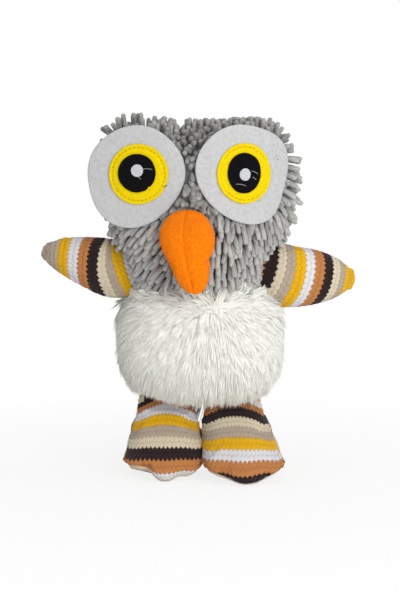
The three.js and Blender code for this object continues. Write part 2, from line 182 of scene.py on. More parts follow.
# %% World and lamps
world = bpy.data.worlds.new("studio")
bpy.context.scene.world = world
world.use_nodes = True
tree = world.node_tree
tree.nodes.clear()
room = add_node(tree, "Background", {"Color": pure_white, "Strength": 0.4})
white = add_node(tree, "Background", {"Color": pure_white, "Strength": 1.0})
add_node(tree, "OutputWorld", {}, {"Surface": mixed_shaders(tree, seen_rays(tree), room, white)})
owl_heart = np.array([0, 0, 0.16])


def add_lamp(name, place, power, size):
    """A square area lamp at a place in metres, turned to the owl's middle."""
    data = bpy.data.lights.new(name, "AREA")
    data.energy, data.size = power, size
    lamp = bpy.data.objects.new(name, data)
    bpy.context.scene.collection.objects.link(lamp)
    lamp.location = place
    towards = owl_heart - np.array(place)
    tilt = np.arccos(-towards[2] / np.linalg.norm(towards))
    lamp.rotation_euler = (tilt, 0, np.arctan2(towards[1], towards[0]) - np.pi / 2)


add_lamp("key", (0.65, -1.2, 0.6), 10.8, 0.8)
add_lamp("fill", (-0.9, -1.2, 0.3), 1.4, 0.9)
add_lamp("low", (0.2, -1.3, 0.08), 3.6, 0.5)
add_lamp("top", (0.1, -0.1, 1.5), 3.4, 1.0)
add_lamp("back", (-0.3, 1.4, 0.7), 5, 1.2)
print("lamps", len(bpy.data.lights))

# %% [markdown]
# ## Building blocks for soft surfaces
# Nearly every piece is a grid of points worked out as whole arrays: rows from one end to the
# other, columns round it. These helpers read a profile smoothly, turn a grid into a mesh and find
# its outward directions.

# %% Profiles and rings


def smoothstep(value, low, high):
    """0 up to low, 1 from high on, and 3 s^2 - 2 s^3 between, where s is the share of the way.
    With low above high it falls instead of rising."""
    share = np.clip((value - low) / (high - low), 0, 1)
    return share * share * (3 - 2 * share)


def bell(distance, width):
    """1 in the middle and lower to both sides: e to the power of minus the square of the distance
    over the width."""
    return np.exp(-((distance / width) ** 2))


def unit(vectors):
    """Each vector divided by its length."""
    return vectors / np.maximum(np.linalg.norm(vectors, axis=-1, keepdims=True), 1e-9)


def across_only(vectors, directions):
    """What is left of vectors without their share along unit directions."""
    return vectors - directions * np.sum(vectors * directions, -1, keepdims=True)


def evenly(start, end, count):
    """Places spread evenly from a start to an end, as a column."""
    return np.linspace(start, end, count)[:, None]


def full_turn(count):
    """Angles spread evenly round a full turn, as a row."""
    return np.linspace(0, 2 * np.pi, count, endpoint=False)[None, :]


def through(rows, place):
    """Values at fractional row places: a Catmull-Rom curve through the rows, so each piece is the
    cubic whose slope at a row is half the step between its two neighbours."""
    rows = np.asarray(rows, float)
    place = np.clip(place, 0, len(rows) - 3 - 1e-9)
    first = np.floor(place).astype(int)
    share = (place - first)[..., None]
    before, here, after, beyond = (rows[first + step] for step in range(4))
    return 0.5 * (
        2 * here
        + (after - before) * share
        + (2 * before - 5 * here + 4 * after - beyond) * share**2
        + (3 * here - before - 3 * after + beyond) * share**3
    )


def padded_rows(rows, turned=(), open_end=True):
    """Rows with one more at each end for the curve. At a pole the first is the second row with
    its widths turned over, so that the surface closes round."""
    rows = np.asarray(rows, float)
    before = rows[1].copy()
    before[list(turned)] *= -1
    after = 2 * rows[-1] - rows[-2]
    if not open_end:
        after = rows[-2].copy()
        after[list(turned)] *= -1
    return np.vstack([before, rows, after])


def squared_circle(angle, exponent):
    """A point of the curve |x|^e + |y|^e = 1 in the given direction."""
    across, along = np.cos(angle), np.sin(angle)
    size = (np.abs(across) ** exponent + np.abs(along) ** exponent) ** (1 / exponent)
    return across / size, along / size


# %% Meshes from arrays


def make_piece(name, points_mm, quads, triangles=(), uv=None, shade=None):
    """A mesh object from arrays of points in millimetres and of corner numbers. uv gives a pair
    for each corner in the order of the faces, and shade gives a number for each point."""
    points = np.asarray(points_mm, np.float32).reshape(-1, 3) / 1000
    quads = np.asarray(quads, np.int32).reshape(-1, 4)
    triangles = np.asarray(triangles, np.int32).reshape(-1, 3)
    corners = np.concatenate([quads.ravel(), triangles.ravel()])
    sizes = np.repeat([4, 3], [len(quads), len(triangles)])
    starts = np.cumsum(sizes) - sizes
    mesh = bpy.data.meshes.new(name)
    mesh.vertices.add(len(points))
    mesh.vertices.foreach_set("co", points.ravel())
    mesh.loops.add(len(corners))
    mesh.loops.foreach_set("vertex_index", corners)
    mesh.polygons.add(len(starts))
    mesh.polygons.foreach_set("loop_start", starts.astype(np.int32))
    mesh.update(calc_edges=True)
    mesh.polygons.foreach_set("use_smooth", np.ones(len(starts), bool))
    if uv is not None:
        layer = mesh.uv_layers.new(name="knit")
        layer.data.foreach_set("uv", np.asarray(uv, np.float32).ravel())
    if shade is not None:
        layer = mesh.attributes.new("shade", "FLOAT", "POINT")
        layer.data.foreach_set("value", np.asarray(shade, np.float32).ravel())
    mesh.validate()
    piece = bpy.data.objects.new(name, mesh)
    bpy.context.scene.collection.objects.link(piece)
    return piece


def grid_faces(rows, columns, closed):
    """Corner numbers of the quads of a grid, row by row, the last column joined to the first
    where the grid is closed."""
    across = columns if closed else columns - 1
    row, column = np.meshgrid(np.arange(rows - 1), np.arange(across), indexing="ij")
    after = (column + 1) % columns
    here, above = row * columns, (row + 1) * columns
    faces = np.stack([here + column, here + after, above + after, above + column], -1)
    return faces.reshape(-1, 4)


def outward(grid, closed=True):
    """Unit directions out of a grid of points: the cross product of the step along a row and the
    step to the next row."""
    if closed:
        along = np.roll(grid, -1, 1) - np.roll(grid, 1, 1)
    else:
        along = np.gradient(grid, axis=1)
    return unit(np.cross(along, np.gradient(grid, axis=0)))


def welded(piece, distance_mm=0.01):
    """Joins points that lie together, as at a pole or where a seam closes."""
    shape = bmesh.new()
    shape.from_mesh(piece.data)
    bmesh.ops.remove_doubles(shape, verts=shape.verts, dist=distance_mm / 1000)
    shape.to_mesh(piece.data)
    shape.free()
    return piece


# %% [markdown]
# ## The stuffed body
# The owl's head, chest and belly are one stuffed lump, drawn in at the waist where two cloths
# meet. Its sections are squared circles whose half-widths follow a profile. The same function
# gives the cloth, and the roots and directions of every noodle and strand of fur on it.

# %% Body surface
belly_low, waist_high, crown_high = 70.0, 163.0, 311.0
belly_half, waist_half, head_half = (74.0, 60.0), (60.0, 47.0), (84.0, 54.0)
body_square = 2.4
belly_rows = [
    [0.02, 0.5, 0.45], [0.12, 0.8, 0.76], [0.32, 0.97, 0.95], [0.55, 1, 1],
    [0.8, 0.97, 0.96], [0.94, 0.89, 0.88],
]
head_rows = [
    [0.15, 0.745, 0.92], [0.33, 0.87, 0.97], [0.52, 0.96, 1], [0.7, 1, 0.98],
    [0.83, 0.97, 0.88], [0.93, 0.86, 0.68], [0.985, 0.6, 0.4],
]
waist_row = len(belly_rows) + 1
belly_height, head_height = waist_high - belly_low, crown_high - waist_high
ear_rise, ear_start = 12.0, waist_high + 0.7 * head_height
belly_table = np.array(belly_rows) * [belly_height, *belly_half] + [belly_low, 0, 0]
head_table = np.array(head_rows) * [head_height, *head_half] + [waist_high, 0, 0]
waist, crown = [waist_high, *waist_half], [crown_high, 0, 0]
body_table = np.vstack([[belly_low, 0, 0], belly_table, waist, head_table, crown])
body_profile = padded_rows(body_table, turned=(1, 2), open_end=False)
crown_row = len(body_table) - 1


def leaning_middle(height):
    """Sideways place of the body's middle: it moves to the left with the height."""
    return 2.5 - 5.0 * smoothstep(height, belly_low, crown_high)


def body_surface(row, angle, inset=0.0):
    """Points of the body: x and y are the profile's half-widths along a squared circle, x moved
    by the lean of the body's middle, z the profile's height raised at the two corners of the
    crown. An inset draws the sections in and the crown down."""
    height, wide, deep = np.moveaxis(through(body_profile, row), -1, 0)
    across, along = squared_circle(angle, body_square)
    ears = ear_rise * smoothstep(height, ear_start, crown_high)
    rise = ears * (wide / head_half[0] * across) ** 2
    points = np.stack([leaning_middle(height) + wide * across, deep * along, height + rise], -1)
    if np.any(inset):
        points = points - inset * outward(points)
    return points + body_middle


def body_cloth(name, start, end, inset):
    """A closed bag: the body's surface between two rows, drawn in, more so at the sides of the
    waist, with both ends shut."""
    rows, angles = evenly(start, end, 40), full_turn(96)
    high = body_surface(rows, angles)[..., 2]
    at_waist = smoothstep(high, 225, 195) * smoothstep(high, 130, waist_high)
    at_waist = at_waist * smoothstep(np.abs(np.cos(angles)), 0.4, 0.8)
    grid = body_surface(rows, angles, (inset + 4.0 * at_waist)[..., None])
    lumps = 0.8 * np.sin(5 * angles + grid[..., 2] / 9) * np.sin(grid[..., 2] / 14)
    grid = grid + lumps[..., None] * outward(grid)
    ends = [np.broadcast_to(ring.mean(0), (1, *ring.shape)) for ring in (grid[0], grid[-1])]
    grid = np.concatenate([ends[0], grid, ends[1]])
    return welded(make_piece(name, grid, grid_faces(*grid.shape[:2], True)))


head_cloth = body_cloth("head_cloth", waist_row + 0.02, crown_row - 0.02, 7.5)
belly_cloth = body_cloth("belly_cloth", 0.02, waist_row - 0.02, 3.0)
print("cloth bags", len(head_cloth.data.vertices), len(belly_cloth.data.vertices), "points")

# %% [markdown]
# ## Grey chenille noodles
# The head and chest are covered with finger-like loops of chenille. Each is a soft tube about
# 4.5 mm thick with a round end. They could be drawn in a texture, but their ends make the owl's
# outline, so each is a real tube: six sides along a centre line that starts square to the cloth
# and droops with its own weight.

# %% Tube builder
noodle_radius = 2.3
noodle_sides = 6
noodle_steps = np.array([0, 0.22, 0.44, 0.65, 0.85, 0.93, 0.98])
noodle_girth = np.array([0.85, 1, 1, 1, 1, 0.88, 0.6])


def tubes(roots, first_way, last_way, lengths, radius, steps, girth, sides, bend_by=0.8):
    """Tubes with round ends. A tube's direction turns smoothly from its first way to its last
    one, and its centre line is the sum of those directions times the steps of its length. Each
    ring lies across the line with the girth of its step, 5 % more or less. Returns points, quads
    and triangles."""
    count, rings = len(roots), len(steps)
    turn = smoothstep(np.concatenate([steps, [1.0]]), 0.0, bend_by)[None, :, None]
    ways = unit(first_way[:, None] * (1 - turn) + last_way[:, None] * turn)
    middle_ways = (ways[:, :-1] + ways[:, 1:]) / 2
    spans = np.diff(np.concatenate([steps, [1.0]]))
    line = np.cumsum(middle_ways * (lengths[:, None] * spans)[..., None], 1)
    line = roots[:, None] + np.concatenate([np.zeros((count, 1, 3)), line], 1)
    across = np.where(np.abs(first_way[:, 2:]) < 0.8, [[0, 0, 1.0]], [[1.0, 0, 0]])
    side = np.cross(first_way, last_way)
    bent = np.linalg.norm(side, axis=1, keepdims=True)
    side = np.where(bent > 0.05, side / np.maximum(bent, 1e-9), np.cross(first_way, across))
    side = unit(across_only(side[:, None], ways))
    up = np.cross(ways, side)
    thick = radius[:, None] * girth[None] * random.uniform(0.95, 1.05, (count, rings))
    angle = 2 * np.pi * np.arange(sides)[:, None] / sides
    ring = np.cos(angle) * side[:, :rings, None] + np.sin(angle) * up[:, :rings, None]
    skin = line[:, :rings, None] + thick[..., None, None] * ring
    points = np.concatenate([skin.reshape(count, -1, 3), line[:, -1:], roots[:, None]], 1)
    quads = grid_faces(rings, sides, True)
    here, after = np.arange(sides), (np.arange(sides) + 1) % sides
    last = (rings - 1) * sides
    crown = np.stack([last + here, last + after, np.full(sides, rings * sides)], -1)
    foot = np.stack([after, here, np.full(sides, rings * sides + 1)], -1)
    triangles = np.concatenate([crown, foot])
    offset = (rings * sides + 2) * np.arange(count)[:, None, None]
    return points, (quads + offset).reshape(-1, 4), (triangles + offset).reshape(-1, 3)


# %% [markdown]
# The roots stand in rows up the body and in columns round it, as in the real cloth, whose
# columns show as hanging ropes on the chest. A root knows its outward direction and the downhill
# direction along the cloth.

# %% Roots on the body
foot_limit, crown_limit = 1e-4, crown_row - 1e-4


def directions(row, angle):
    """Point, outward direction and downhill direction of the body's surface: the two steps along
    the surface are crossed, and gravity is laid flat on the surface."""
    step = 1e-3
    pick = lambda r, a: body_surface(r[:, None], a[:, None])[:, 0]
    around = pick(row, angle + step) - pick(row, angle - step)
    above, below = np.minimum(row + step, crown_limit), np.maximum(row - step, foot_limit)
    normal = unit(np.cross(around, pick(above, angle) - pick(below, angle)))
    down = np.array([0, 0, -1.0]) + normal * normal[:, 2:]
    flat = np.linalg.norm(down, axis=1, keepdims=True)
    down = np.where(flat > 0.05, unit(down), unit(around))
    return pick(row, angle), normal, down


def rows_of_roots(start, end, row_gap, root_gap, jitter, columns=0, brick=True):
    """Row and angle of roots at even steps of length up the body and round each section. With a
    number of columns, each row has that many roots until they come closer than the root gap."""
    fine = np.linspace(start, end, 400)
    edges = [body_surface(fine[:, None], np.array([[turn]]))[:, 0] for turn in (-np.pi / 2, 0.0)]
    runs = [np.linalg.norm(np.diff(edge, axis=0), axis=1).cumsum() for edge in edges]
    length = np.concatenate([[0], sum(runs) / 2])
    places = np.interp(np.arange(row_gap / 2, length[-1], row_gap), length, fine)
    dense = np.linspace(-np.pi / 2, 1.5 * np.pi, 721)
    all_rows, all_angles = [], []
    for number, place in enumerate(places):
        ring = body_surface(np.array([[place]]), dense[None, :])[0]
        around = np.concatenate([[0], np.linalg.norm(np.diff(ring, axis=0), axis=1).cumsum()])
        fitting = max(3, round(around[-1] / root_gap))
        count = min(columns, fitting) if columns else fitting
        at = (np.arange(count) + 0.5 * (number % 2 if brick else 0)) / count * around[-1]
        at = at + random.uniform(-jitter, jitter, count)
        all_angles.append(np.interp(at % around[-1], around, dense))
        step = np.interp(place, places, np.gradient(places)) / row_gap
        all_rows.append(np.clip(place + random.uniform(-jitter, jitter, count) * step, start, end))
    return np.concatenate(all_rows), np.concatenate(all_angles)


def forward_share(across):
    """How far forward the body's squared circle lies at a sideways share of its half-width."""
    return (1 - np.abs(across) ** body_square) ** (1 / body_square)


def row_and_angle(x, high):
    """Row and angle of the front point of the body with a sideways place and a height."""
    fine = np.linspace(0, crown_row, 800)
    profile = through(body_profile, fine)
    row = np.interp(high, profile[:, 0], fine)
    wide = through(body_profile, row)[:, 1]
    across = np.clip((x - leaning_middle(high)) / wide, -0.98, 0.98)
    return row, np.arctan2(-forward_share(across), across)


def eye_frame(x, height, turn, bend, waves):
    """An eye on the head's front: its middle, its directions right, out of the face and up, the
    radius that its sheet is bent to and the waves of its edge. It is pressed a little into the
    pile."""
    wide, deep = (np.interp(height, body_table[:, 0], body_table[:, k]) for k in (1, 2))
    front = deep * forward_share((x - leaning_middle(height)) / wide)
    place = np.array([x, eye_press - front, height]) + body_middle
    right = np.array([np.cos(turn), np.sin(turn), 0])
    out = np.array([np.sin(turn), -np.cos(turn), 0])
    up = np.array([0, 0, 1.0])
    return {"place": place, "right": right, "out": out, "up": up, "bend": bend, "waves": waves}


eye_radius, eye_press = 44.0, 2.2
left_waves = [(-0.025, 0.011), (-0.012, 0.03), (0.016, 0.013), (0.004, -0.007), (0.004, 0.006)]
right_waves = [(0.013, 0.036), (0.009, -0.015), (-0.02, 0.035), (-0.009, 0.023), (-0.007, 0.01)]
eyes = {
    "left": eye_frame(-53.088, 265.564, np.radians(-10), 400.0, left_waves),
    "right": eye_frame(41.496, 267.044, np.radians(22), 120.0, right_waves),
}


def eye_edge(eye, angles):
    """Distance of a felt disc's cut edge from its middle: the radius times 1 plus a sum of waves
    a cos(k angle) + b sin(k angle), which make the hand-cut disc rounder at some corners."""
    turns = [(number + 1) * angles for number in range(len(eye["waves"]))]
    waves = sum(a * np.cos(turn) + b * np.sin(turn) for (a, b), turn in zip(eye["waves"], turns))
    return eye_radius * (0.988 + waves)


def on_eye(points, eye):
    """How far right, up and out of an eye's bent disc a point lies. The disc bends round an
    upright cylinder, so right is the arc and out is the distance from its surface."""
    away = points - eye["place"]
    right, out = away @ eye["right"], away @ eye["out"]
    lift = np.hypot(right, eye["bend"] + out) - eye["bend"]
    arc = eye["bend"] * np.arctan2(right, eye["bend"] + out)
    return arc, away @ eye["up"], lift


def clear_of_eyes(lines, spare):
    """True for each line of points that stays behind the eye discs or beside them."""
    good = np.ones(len(lines), bool)
    for eye in eyes.values():
        arc, up, lift = on_eye(lines, eye)
        edge = eye_edge(eye, np.arctan2(up, arc)) + spare
        inside = (np.hypot(arc, up) < edge) & (lift > -spare) & (lift < 40)
        good &= ~inside.any(axis=1)
    return good


# %% [markdown]
# The beak's sizes come here, because the noodles round it have to know where it is. It is a
# stuffed teardrop below its hinge line: circles along a line that reaches forward and leans to
# the right at the tip.

# %% Beak sizes
# Each row: share of the length, half-width, how far forward, half-depth
beak_rows = [
    [1, 0, 1, 0], [0.965, 0.28, 0.97, 0.2], [0.86, 0.5, 0.92, 0.42], [0.73, 0.665, 0.8, 0.66],
    [0.58, 0.8, 0.66, 0.86], [0.42, 0.94, 0.54, 1], [0.27, 1, 0.4, 0.92], [0.12, 0.9, 0.22, 0.68],
    [0, 0.69, 0.04, 0.42], [-0.07, 0.42, -0.05, 0.24], [-0.1, 0, -0.1, 0],
]
beak_profile = padded_rows(beak_rows, turned=(1, 3), open_end=False)
beak_length, beak_wide, beak_deep, beak_reach, beak_shift = 64.5, 23.3, 16.5, 20.0, 7.0
beak_place = joint_place("beak_lift")


def clear_of_beak(lines, spare):
    """True for each line of points that stays outside the beak's sections made larger."""
    away = lines - beak_place
    long = np.clip(-away[..., 2] / beak_length, -0.1, 1)
    table = np.array(beak_rows)[::-1]
    wide, reach, deep = (np.interp(long, table[:, 0], table[:, k]) for k in (1, 2, 3))
    x = (away[..., 0] - beak_shift * long**2) / (wide * beak_wide + spare)
    y = (away[..., 1] + reach * beak_reach) / (deep * beak_deep + spare)
    inside = (x**2 + y**2 < 1) & (away[..., 2] < 5 + spare) & (away[..., 2] > -beak_length - spare)
    return ~inside.any(axis=1)


# %% [markdown]
# A wing is a stuffed cone on a hinge line at the side of the chest, so its sizes come here too.
# Each wing has its own profile, because the left one is slimmer.

# %% Wing shape
# Each row: share of the length, half-height, half-depth
wing_rows = {
    "left": [
        [1, 0, 0], [0.965, 0.26, 0.27], [0.87, 0.43, 0.5], [0.72, 0.59, 0.7],
        [0.5, 0.755, 0.9], [0.28, 0.87, 0.98], [0.06, 0.93, 0.85], [-0.24, 0.85, 0.5],
    ],
    "right": [
        [1, 0, 0], [0.965, 0.3, 0.28], [0.87, 0.48, 0.52], [0.72, 0.7, 0.76],
        [0.5, 0.89, 0.96], [0.28, 0.99, 1], [0.07, 1.03, 0.85], [-0.16, 1.0, 0.55],
    ],
}
wing_length, wing_high, wing_deep = 77.8, 28.5, 19.0
wing_lean, wing_sweep = np.radians(10), np.radians(13)
wing_square, wing_root = 2.1, 7.0


def wing_grid(profile, rise, rows, angles):
    """A wing's skin in its hinge's own axes, x up the hinge line and -z outwards: squared circles
    along an axis that rises, their planes turned square to it, and the root rounded over."""
    long, high, deep = np.moveaxis(through(profile, np.minimum(rows, wing_root)), -1, 0)
    over = np.clip(rows - wing_root, 0, 1) * np.pi / 2
    across, along = squared_circle(angles, wing_square)
    tilt = rise * smoothstep(long, 0, 0.3)
    x = long * wing_length * np.sin(rise) + high * wing_high * across * np.cos(tilt)
    y = deep * wing_deep * along * np.cos(over)
    z = high * wing_high * across * np.sin(tilt) - long * wing_length * np.cos(rise)
    z = z + np.abs(deep * wing_deep * along) * np.sin(over)
    return np.stack([x, y, z], -1), long, high * across


def hinge_axes(side, joint):
    """Place and directions of a wing's hinge: along its line, across it and back to the chest."""
    line = np.array([side * np.sin(wing_lean), 0, np.cos(wing_lean)])
    out = np.array([side * np.cos(wing_lean), 0, -np.sin(wing_lean)])
    spin = side * wing_sweep
    length = -(out * np.cos(spin) + np.cross(line, out) * np.sin(spin))
    return joint_place(joint), np.stack([line, np.cross(length, line), length])


wing_swing = (-15, 35)
wings = {"left": (-1, wing_lean + np.radians(14)), "right": (1, wing_lean - np.radians(4))}


def turned(points, joint, degrees):
    """Points turned about a joint's line."""
    place, axis = joint_place(joint), np.array(joints[joint]["axis"], float)
    angle = np.radians(degrees)
    away = points - place
    along = (away @ axis)[..., None] * axis
    return place + along + (away - along) * np.cos(angle) + np.cross(axis, away) * np.sin(angle)


def clear_of_wings(lines, spare):
    """True for each line of points that stays outside both wings' sections made larger, and
    outside the plain sections when a wing is at either end of its swing."""
    good = np.ones(len(lines), bool)
    for name, (side, rise) in wings.items():
        joint = f"{name}_wing_swing"
        origin, axes = hinge_axes(side, joint)
        table = np.array(wing_rows[name])[::-1]
        for swing, room in ((0, spare), (wing_swing[0], 0.3), (wing_swing[1], 0.3)):
            local = (turned(lines, joint, -swing) - origin) @ axes.T
            long = np.clip(-local[..., 2] / (wing_length * np.cos(rise)), table[0, 0], 1)
            high, deep = (np.interp(long, table[:, 0], table[:, k]) for k in (1, 2))
            across = (local[..., 0] - long * wing_length * np.sin(rise)) / (high * wing_high + room)
            inside = across**2 + (local[..., 1] / (deep * wing_deep + room)) ** 2 < 1
            good &= ~(inside & (-local[..., 2] > wing_length * table[0, 0])).any(axis=1)
    return good


# %% [markdown]
# The noodles stand up on the crown, stick out at the sides and hang more and more the lower they
# grow. To the left of the beak they fan out to the left, and to its right they hang in straight
# ropes. Between the eyes a set of short ones fills the narrow gap.

# %% Noodles on the head and chest
noodle_row_gap, noodle_gap, noodle_jitter, noodle_columns = 6.8, 5.3, 1.0, 62
chest_row, chest_angle = rows_of_roots(
    waist_row + 0.1, crown_row - 0.03, noodle_row_gap, noodle_gap, noodle_jitter,
    columns=noodle_columns, brick=False,
)
short_gap, short_jitter = 4.2, 1.9
gap_x, gap_high = np.meshgrid(np.arange(-28, 22, short_gap), np.arange(226, 306, short_gap))
gap_x = gap_x + random.uniform(-short_jitter, short_jitter, gap_x.shape)
gap_high = gap_high + random.uniform(-short_jitter, short_jitter, gap_high.shape)
gap_row, gap_angle = row_and_angle(gap_x.ravel(), gap_high.ravel())
root_row = np.concatenate([chest_row, gap_row])
root_angle = np.concatenate([chest_angle, gap_angle])
in_gap = np.arange(len(root_row)) >= len(chest_row)
surface, normals, downs = directions(root_row, root_angle)
place = surface - body_middle
high, facing = place[:, 2], -normals[:, 1]
gap_half = 8 + 0.35 * np.abs(high - 267)
between_eyes = (facing > 0.5) & (high > 226) & (np.abs(place[:, 0] + 4.5) < gap_half)
droop_heights = [163, 200, 232, 255, 285, 300, 315]
droop = np.interp(high, droop_heights, [0.92, 0.9, 0.8, 0.55, 0.3, 0.12, 0.0])
waistwards = smoothstep(high, 225, 195) * smoothstep(facing, 0.8, 0.4)
droop = droop * np.maximum(np.interp(facing, [-0.3, 0.25, 0.8], [0.9, 0.62, 1.0]), waistwards)
droop = np.where(in_gap, random.uniform(0.35, 0.95, len(high)), droop)
droop = np.clip(droop + random.normal(0, 0.08, len(droop)), 0, 0.97)
sideways = np.cross(normals, downs)
fan = smoothstep(place[:, 0], -14, -34) * smoothstep(place[:, 0], -92, -60)
fan = fan * (facing > 0.2) * smoothstep(high, 250, 225)
lean = random.normal(0, 0.12, len(high)) * (1 + 3.0 * smoothstep(high, 225, 260))
lean = np.where(in_gap, random.normal(0, 0.75, len(high)), lean - 0.75 * fan)
hang = downs * np.cos(lean)[:, None] + sideways * np.sin(lean)[:, None]
length = np.interp(high, [163, 185, 235, 260, 290, 305, 315], [14, 18, 18, 15, 14, 13, 12])
at_right = smoothstep(place[:, 0], 45, 65) * smoothstep(high, 215, 240)
at_right = at_right * smoothstep(high, 300, 285)
at_left = smoothstep(place[:, 0], -45, -65) * smoothstep(high, 205, 230)
at_left = at_left * smoothstep(high, 296, 284)
length = length * (1 + 0.2 * at_right - 0.3 * at_left) * (1 - 0.25 * waistwards)
length = np.where(in_gap, 11.0, length) * random.uniform(0.78, 1.2, len(high))

# %% [markdown]
# The crown is uneven: at its left corner only a few noodles stand out long, and left of the
# middle there is a parting. A noodle that would poke through a felt disc, the beak or a wing is
# bent flat, then also made shorter, and left out if that isn't enough, much as the noodles of the
# real owl are pressed there.

# %% Uneven crown and pressed noodles
crown_share = smoothstep(high, 284, 298)
left_corner = place[:, 0] < -42
stubby = (random.uniform(0, 1, len(high)) < np.where(left_corner, 0.75, 0.25)) & ~in_gap
length = length * (1 - 0.55 * crown_share * stubby)
length = length * (1 + 0.22 * crown_share * ~stubby * left_corner)
length = length * (1 - 0.75 * (bell(place[:, 0] + 15.0, 4.5) * crown_share))
upright = (0.7 * smoothstep(high, 284, 297) * smoothstep(facing, -0.1, 0.2))[:, None]
stand = unit(normals * (1 - upright) + np.array([0, 0, 1.0]) * upright)
roots, first_way, last_way = np.zeros((3, len(high), 3))
keep = np.zeros(len(high), bool)
reach = np.linspace(0.1, 1.0, 7)[None, :, None]
eye_spare, noodle_spare = 1.9, 1.6
for pressed, share in ((0.0, 1.0), (0.7, 1.0), (0.9, 0.8), (0.95, 0.55)):
    bend_down = np.maximum(droop, pressed)[:, None]
    first = unit((1 - pressed) * stand + (0.3 * (1 - upright) + pressed) * hang)
    last = unit(stand * (1 - bend_down) + hang * bend_down)
    start = surface - np.where(in_gap, 5.5, 7.0 + 4.0 * waistwards)[:, None] * normals
    run = reach * (share * length)[:, None, None]
    sketch = start[:, None] + run * (first[:, None] * (1 - reach / 2) + last[:, None] * reach / 2)
    fits = clear_of_eyes(sketch, eye_spare) & clear_of_beak(sketch, noodle_spare)
    fits &= clear_of_wings(sketch, noodle_spare) & (in_gap | ~between_eyes) & ~keep
    roots[fits], first_way[fits], last_way[fits] = start[fits], first[fits], last[fits]
    length = np.where(fits, length * share, length)
    keep |= fits
radius = noodle_radius * random.uniform(0.92, 1.08, len(high))
picked = [values[keep] for values in (roots, first_way, last_way, length, radius)]
points, quads, triangles = tubes(*picked, noodle_steps, noodle_girth, noodle_sides)
# Painted shade: the shade grows from root to tip, so each noodle is darker at its root, where its
# neighbours shade it. The noodles between the eyes and on the crown are darker still, as shade for
# that recess and for a top that the lamps light less. A random tone for each noodle is mixed in.
tone = random.uniform(0, 1, len(points))[:, None]
along = np.concatenate([np.repeat(noodle_steps, noodle_sides), [1, 0]])
deep = (0.55 * in_gap + 0.3 * crown_share)[keep][:, None]
shade = np.clip(0.55 * along[None, :] + 0.45 * tone - deep, 0, 1)
half = len(points) // 2
quads_each, triangles_each = len(quads) // len(points), len(triangles) // len(points)
noodle_pieces = []
for name, part in (("low", slice(0, half)), ("high", slice(half, None))):
    some = points[part]
    faces = quads[: len(some) * quads_each], triangles[: len(some) * triangles_each]
    noodle_pieces.append(make_piece(f"chenille_noodles_{name}", some, *faces, shade=shade[part]))
print("noodles", len(points), "of", len(roots))

# %% [markdown]
# ## White long fur
# The belly is long-pile fur. Its strands gather in locks that fan out from the upper middle of
# the belly and hang lower down. Hair curves would render well but aren't kept as geometry, so
# each strand is a thin three-sided spike, and a lock's strands lean together at their tips.

# %% Fur builder


def locks(roots, normals, flow, hang, lengths, lift, count_each, spread, width, pinch):
    """Strands in locks. A lock's middle line leaves the cloth by its lift, runs along the flow
    and sinks along the hang; each strand starts beside it and comes nearer by the pinch at its
    end. A strand is a three-sided spike that narrows to a point. Returns points, quads,
    triangles, a shade per point and the outward direction of the cloth under it."""
    total = len(roots) * count_each
    of = np.repeat(np.arange(len(roots)), count_each)
    across = np.cross(normals, flow)
    offset_a, offset_b = random.normal(0, spread, (2, total))
    rough = roots[of] + offset_a[:, None] * across[of] + offset_b[:, None] * flow[of]
    size = lengths[of] * random.uniform(0.7, 1.12, total)
    share = np.array([0.0, 0.36, 0.7, 1.0])
    rise = (lift[of] * random.uniform(0.8, 1.2, total))[:, None] * np.array([0, 0.62, 0.95, 1.0])
    run = size[:, None] * np.array([0, 0.28, 0.65, 1.0])
    sink = hang[of][:, None] * size[:, None] * share**2
    near = pinch * share**1.5
    curl = random.normal(0, 0.05, (total, 1)) * size[:, None] * share**2
    line = (
        rough[:, None]
        + rise[..., None] * normals[of][:, None]
        + run[..., None] * flow[of][:, None]
        + (curl - near * offset_a[:, None])[..., None] * across[of][:, None]
    )
    line[..., 2] -= sink
    ways = np.diff(line, axis=1)
    ways = np.concatenate([ways, ways[:, -1:]], 1)
    side = unit(np.cross(ways, normals[of][:, None]))
    up = unit(np.cross(side, ways))
    thick = width * np.array([0.8, 1.0, 0.7])
    angle = 2 * np.pi * np.arange(3)[:, None] / 3
    ring = np.cos(angle) * side[:, :3, None] + 0.6 * np.sin(angle) * up[:, :3, None]
    skin = line[:, :3, None] + thick[:, None, None] * ring
    points = np.concatenate([skin.reshape(total, 9, 3), line[:, 3:]], 1)
    quads = grid_faces(3, 3, True)[:, ::-1]
    triangles = np.array([[7, 6, 9], [8, 7, 9], [6, 8, 9], [0, 1, 2]])
    start = 10 * np.arange(total)[:, None, None]
    # The shade is a random tone for each lock and strand, mixed with a rise from root to tip: the
    # root is painted a little darker, as shade deep in the pile.
    tone = random.uniform(0, 1, len(roots))[of] * 0.6 + random.uniform(0, 0.4, total)
    shade = 0.5 * tone[:, None] + 0.5 * np.repeat(share, [3, 3, 3, 1])[None]
    facing = np.repeat(normals[of][:, None], 10, 1)
    return points, (quads + start).reshape(-1, 4), (triangles + start).reshape(-1, 3), shade, facing


def soft_normals(piece, directions, share):
    """Turns the shading of thin strands towards the cloth's own outward direction. White fibres
    let light through and pass it on, so a real lock is lit as a whole and not strand by strand."""
    own = np.empty(len(piece.data.vertices) * 3, np.float32)
    piece.data.vertices.foreach_get("normal", own)
    mixed = unit((1 - share) * own.reshape(-1, 3) + share * directions.reshape(-1, 3))
    piece.data.normals_split_custom_set_from_vertices(mixed.astype(np.float32))


